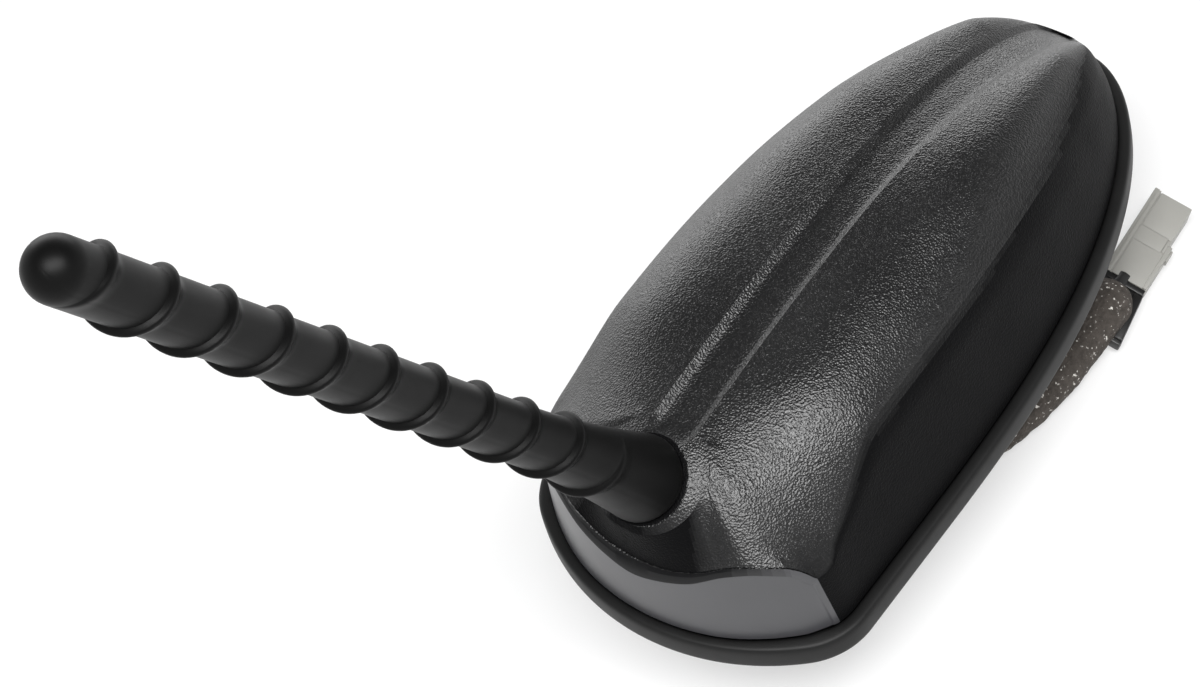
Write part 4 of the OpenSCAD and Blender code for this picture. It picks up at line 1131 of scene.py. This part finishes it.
def rib_rise(height, turn):
    """How far the rib stands out at a height and a turn, where turn runs 0 to 360."""
    lead_turn = (180 - turn) % 360
    line = RIB_START - RIB_PITCH * lead_turn / 360
    turns = round((line - height) / RIB_PITCH)
    whole = (RIB_START - RIB_END) / RIB_PITCH
    best = 0.0
    for k in (turns - 1, turns, turns + 1):
        z = line - RIB_PITCH * k
        off = height - z
        if k >= 0 and z >= RIB_END and RIB_OFFSETS[0] <= off <= RIB_OFFSETS[-1]:
            travelled = lead_turn / 360 + k
            fade = ease(min(travelled, whole - travelled) * 2)
            best = max(best, RIB_HALF * straight_along(RIB_OFFSETS, RIB_SHARES, off) * fade)
    return best


# Turns of the two grooves where the halves of the mould met, half their width in degrees
PARTING_TURNS, PARTING_HALF, PARTING_DEPTH = (112, 292), 1.9, 0.05


def parting_groove(turn):
    off = min(abs((turn - line + 180) % 360 - 180) for line in PARTING_TURNS)
    return PARTING_DEPTH if off < PARTING_HALF else 0.0


def make_mast():
    """The rod as one sheet that follows the rib's helix, closed at the foot and the tip."""
    foot_rows = [0, 0.12, FOOT_ROUND, 0.7, FOOT_EDGE]
    foot_rows += [FOOT_EDGE + FOOT_ROW * k for k in range(1, FOOT_ROWS + 1)]
    low = foot_rows[-1] + 1
    high = MAST_LENGTH - MAST_D / 2
    tip_rows = [high + MAST_D / 2 * deg_sin(90 * k / TIP_ROWS) for k in range(1, TIP_ROWS)]
    plain = RIB_PITCH + RIB_OFFSETS[0] - RIB_OFFSETS[-1]
    per_pitch = RIB_OFFSETS + [RIB_OFFSETS[-1] + plain * k / PLAIN_ROWS for k in range(1, PLAIN_ROWS)]
    turns_below = math.ceil((RIB_START - low) / RIB_PITCH) + 1
    helix = sorted({round(RIB_START - RIB_PITCH * k + off, 6)
                    for k in range(-1, turns_below + 1) for off in per_pitch})
    rows = ["foot"] + foot_rows + ["helix"] * len(helix) + tip_rows + ["tip"]
    helix_start = 1 + len(foot_rows)

    def place(column, row):
        # columns run from just after turn 180 down the helix, so that the seam lies there
        turn = 180 - 360 * column / MAST_COLUMNS
        if rows[row] == "foot":
            return about_mast(0, 0, 0)
        if rows[row] == "tip":
            return about_mast(0, 0, MAST_LENGTH)
        if rows[row] == "helix":
            z = clamp(helix[row - helix_start] - RIB_PITCH * column / MAST_COLUMNS, low, high)
        else:
            z = rows[row]
        if z < FOOT_EDGE:
            r = FOOT_D / 2 - FOOT_ROUND * (1 - math.sqrt(1 - (1 - clamp(z / FOOT_ROUND)) ** 2))
        else:
            r = core_radius(z) + rib_rise(z, turn % 360)
        return about_mast(r - parting_groove(turn), turn, z)

    rod = shaped_grid("mast_rod", MAST_COLUMNS + 1, len(rows), place)
    return smooth(close_and_face_out(rod, 0.002, tiny=0.002), 32)


mast = make_mast()


# ---- threaded studs
# Rows to a pitch, columns, depth and length of the point in pitches, the point's own depth in
# thread depths
THREAD_ROWS, THREAD_COLUMNS, THREAD_DEPTH, THREAD_POINT, THREAD_CHAMFER = 8, 33, 0.61, 1.2, 1.1
# Diameter and pitch of the two threads, and the ends of the mast's from its foot
ROOF_THREAD, MAST_THREAD, MAST_THREAD_ENDS = (8, 1.25), (5, 0.8), (-10.5, 14)


def threaded_bar(name, thread, low, high, at):
    """A bar with a rolled thread and pointed end, standing on the line given by at."""
    radius, pitch = thread[0] / 2, thread[1]
    count = round((high - low) / pitch * THREAD_ROWS)
    depth = THREAD_DEPTH * pitch

    def place(column, row):
        if row in (0, count + 2):
            return at(0, 0, low if row == 0 else high)
        z = low + (row - 1) * pitch / THREAD_ROWS
        phase = ((row - 1) / THREAD_ROWS - column / (THREAD_COLUMNS - 1)) % 1
        # straight sides between a flat crest and a flat root, and a chamfer at the lower end
        ridge = clamp(abs(phase - 0.5) * 2.6 - 0.15)
        chamfer = clamp((pitch * THREAD_POINT - (z - low)) / (pitch * THREAD_POINT))
        r = min(radius - depth * ridge, radius - depth * THREAD_CHAMFER * chamfer)
        return at(r, 360 * column / (THREAD_COLUMNS - 1), min(z, high))

    bar = shaped_grid(name, THREAD_COLUMNS, count + 3, place)
    return smooth(close_and_face_out(bar, 0.001), 25)


def upright(radius, turn, z):
    return Vector((radius * deg_cos(turn), radius * deg_sin(turn), z))


STUD_HEAD, STUD_HEX = 3.6, 13


def make_roof_stud():
    """The M8 stud with its hexagon head."""
    bar = threaded_bar("roof_bolt", ROOF_THREAD, STUD_LOW, STUD_HIGH - STUD_HEAD, upright)
    deselect_all()
    bpy.ops.mesh.primitive_cylinder_add(vertices=6, radius=STUD_HEX / math.sqrt(3) * MM,
                                        depth=STUD_HEAD * MM,
                                        location=(0, 0, (STUD_HIGH - STUD_HEAD / 2) * MM))
    # a hexagon of the CAD model has a corner on x; Blender's has one on y
    head = named(bpy.context.object, "bolt_head")
    head.rotation_euler.z = math.radians(30)
    return join("roof_bolt", [bar, round_edges(settle(head), 0.3, 30)])


roof_bolt = make_roof_stud()
mast_bolt = threaded_bar("mast_thread", MAST_THREAD, *MAST_THREAD_ENDS, about_mast)

# ---- finishes on the pieces
for piece, finish in ((gasket, gasket_rubber), (mast, mast_elastomer), (roof_bolt, plated_steel),
                      (mast_bolt, turned_brass), (cable, cable_jacket), (foam, foam_skin),
                      (connector, connector_pbt), (clip, clip_acetal)):
    piece.data.materials.clear()
    piece.data.materials.append(finish)

CAD_FINISHES = {
    cast_zinc: ["base_plate"], spring_bronze: ["contact_spring"], board_mask: ["circuit_board"],
    plated_steel: ["claw_washer", "roof_nut", "socket_nut", "board_screws", "cover_screws"],
    seal_rubber: ["mast_seal", "cable_grommet"], tinned_steel: ["shield_can"],
    turned_brass: ["mast_socket", "board_connector", "connector_contacts"],
    patch_ceramic: ["patch_antenna"], copper_wire: ["choke_coil"], chip_epoxy: ["board_chips"],
}
for finish, node_names in CAD_FINISHES.items():
    for node_name in node_names:
        for material_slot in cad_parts[node_name].material_slots:
            material_slot.material = finish

# ---- bodies
REPLACED = [(cover, "cover", "pod", "cover_abs"), (gasket, "gasket", "pod", "gasket_epdm"),
            (mast, "mast", "mast", "mast_tpe"), (roof_bolt, "roof_stud", "pod", "plated_steel"),
            (mast_bolt, "mast_stud", "mast", "brass"), (cable, "antenna_cable", "pod", "cable_jacket"),
            (foam, "foam_sleeve", "pod", "foam_wrap"),
            (connector, "connector_housing", "pod", "connector_pbt"),
            (clip, "connector_clip", "pod", "clip_plastic")]
for piece, node_name, body, slot_name in REPLACED:
    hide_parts(node_name)
    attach(piece, body)


# ---- floor and light
def seen_by(tree, *kinds):
    """1 for rays of the kinds named, else 0."""
    path = add_node(tree, "LightPath")
    found = path.outputs[kinds[0]]
    for kind in kinds[1:]:
        either = add_node(tree, "Math", operation="MAXIMUM",
                          links={0: found, 1: path.outputs[kind]})
        found = either.outputs[0]
    return found


# Radius of the paper in metres, and how much of its white is its own where it is seen
PAPER_RADIUS, PAPER_WHITE = 4, 0.53


def make_floor():
    """White paper that keeps the shadow, and looks as white as it does in the photo."""
    deselect_all()
    bpy.ops.mesh.primitive_circle_add(vertices=96, radius=PAPER_RADIUS, fill_type="NGON",
                                      location=(0, 0, FLOOR_Z * MM))
    floor = settle(named(bpy.context.object, "floor"))
    paper = bpy.data.materials.new("white_paper")
    paper.use_nodes = True
    tree = paper.node_tree
    tree.nodes.clear()
    lit = add_node(tree, "BsdfDiffuse", inputs={"Color": linear("f4f4f4")})
    white = add_node(tree, "Emission", inputs={"Color": (1, 1, 1, 1), "Strength": 1.0})
    seen = seen_by(tree, "Is Camera Ray", "Is Glossy Ray", "Is Transmission Ray")
    share = add_node(tree, "Math", operation="MULTIPLY", inputs={1: PAPER_WHITE},
                     links={0: seen})
    mix = add_node(tree, "MixShader",
                   links={0: share.outputs[0], 1: lit.outputs[0], 2: white.outputs[0]})
    add_node(tree, "OutputMaterial", links={0: mix.outputs[0]})
    floor.data.materials.append(paper)


make_floor()


def softbox(name, toward, distance, size, light):
    """A lamp, so wide and so deep, that gives a lit level at the pod; toward points from pod
    to lamp."""
    deselect_all()
    toward = Vector(toward).normalized()
    aim = toward.to_track_quat("Z", "Y").to_euler()
    bpy.ops.object.light_add(type="AREA", location=toward * distance, rotation=aim)
    lamp = bpy.context.object
    lamp.name = name
    lamp.data.shape = "RECTANGLE"
    lamp.data.size, lamp.data.size_y = size
    lamp.data.energy = light * math.pi * distance ** 2


# Over the right rear, which lights up the crown down to the brow; low in front on the left
softbox("key", (-0.28, -0.3, 0.9), 1.3, (1.15, 0.55), 4.7)
softbox("side", (0.6, 0.75, 0.16), 1.5, (1.8, 0.5), 1.5)

# Level of the studio overhead, and the upward parts of a direction between which it falls to it
OVERHEAD, WALL_TOP, CEILING = 0.14, 0.05, 0.6


def make_world():
    """White walls under a dim ceiling; the camera sees plain white."""
    world = bpy.data.worlds.new("studio")
    bpy.context.scene.world = world
    world.use_nodes = True
    tree = world.node_tree
    tree.nodes.clear()
    toward = add_node(tree, "TexCoord").outputs["Generated"]
    up = add_node(tree, "SeparateXYZ", links={"Vector": toward}).outputs["Z"]
    walls = add_node(tree, "MapRange", interpolation_type="SMOOTHSTEP",
                     inputs={"From Min": WALL_TOP, "From Max": CEILING, "To Min": 1.0,
                             "To Max": OVERHEAD}, links={"Value": up})
    level = add_node(tree, "Mix", data_type="FLOAT", inputs={3: 1.0},
                     links={0: seen_by(tree, "Is Camera Ray", "Is Transmission Ray"),
                            2: walls.outputs[0]})
    glow = add_node(tree, "Background", inputs={"Color": (1, 1, 1, 1)},
                    links={"Strength": level.outputs[0]})
    add_node(tree, "OutputWorld", links={0: glow.outputs[0]})


make_world()
bpy.context.scene.view_settings.view_transform = "Standard"
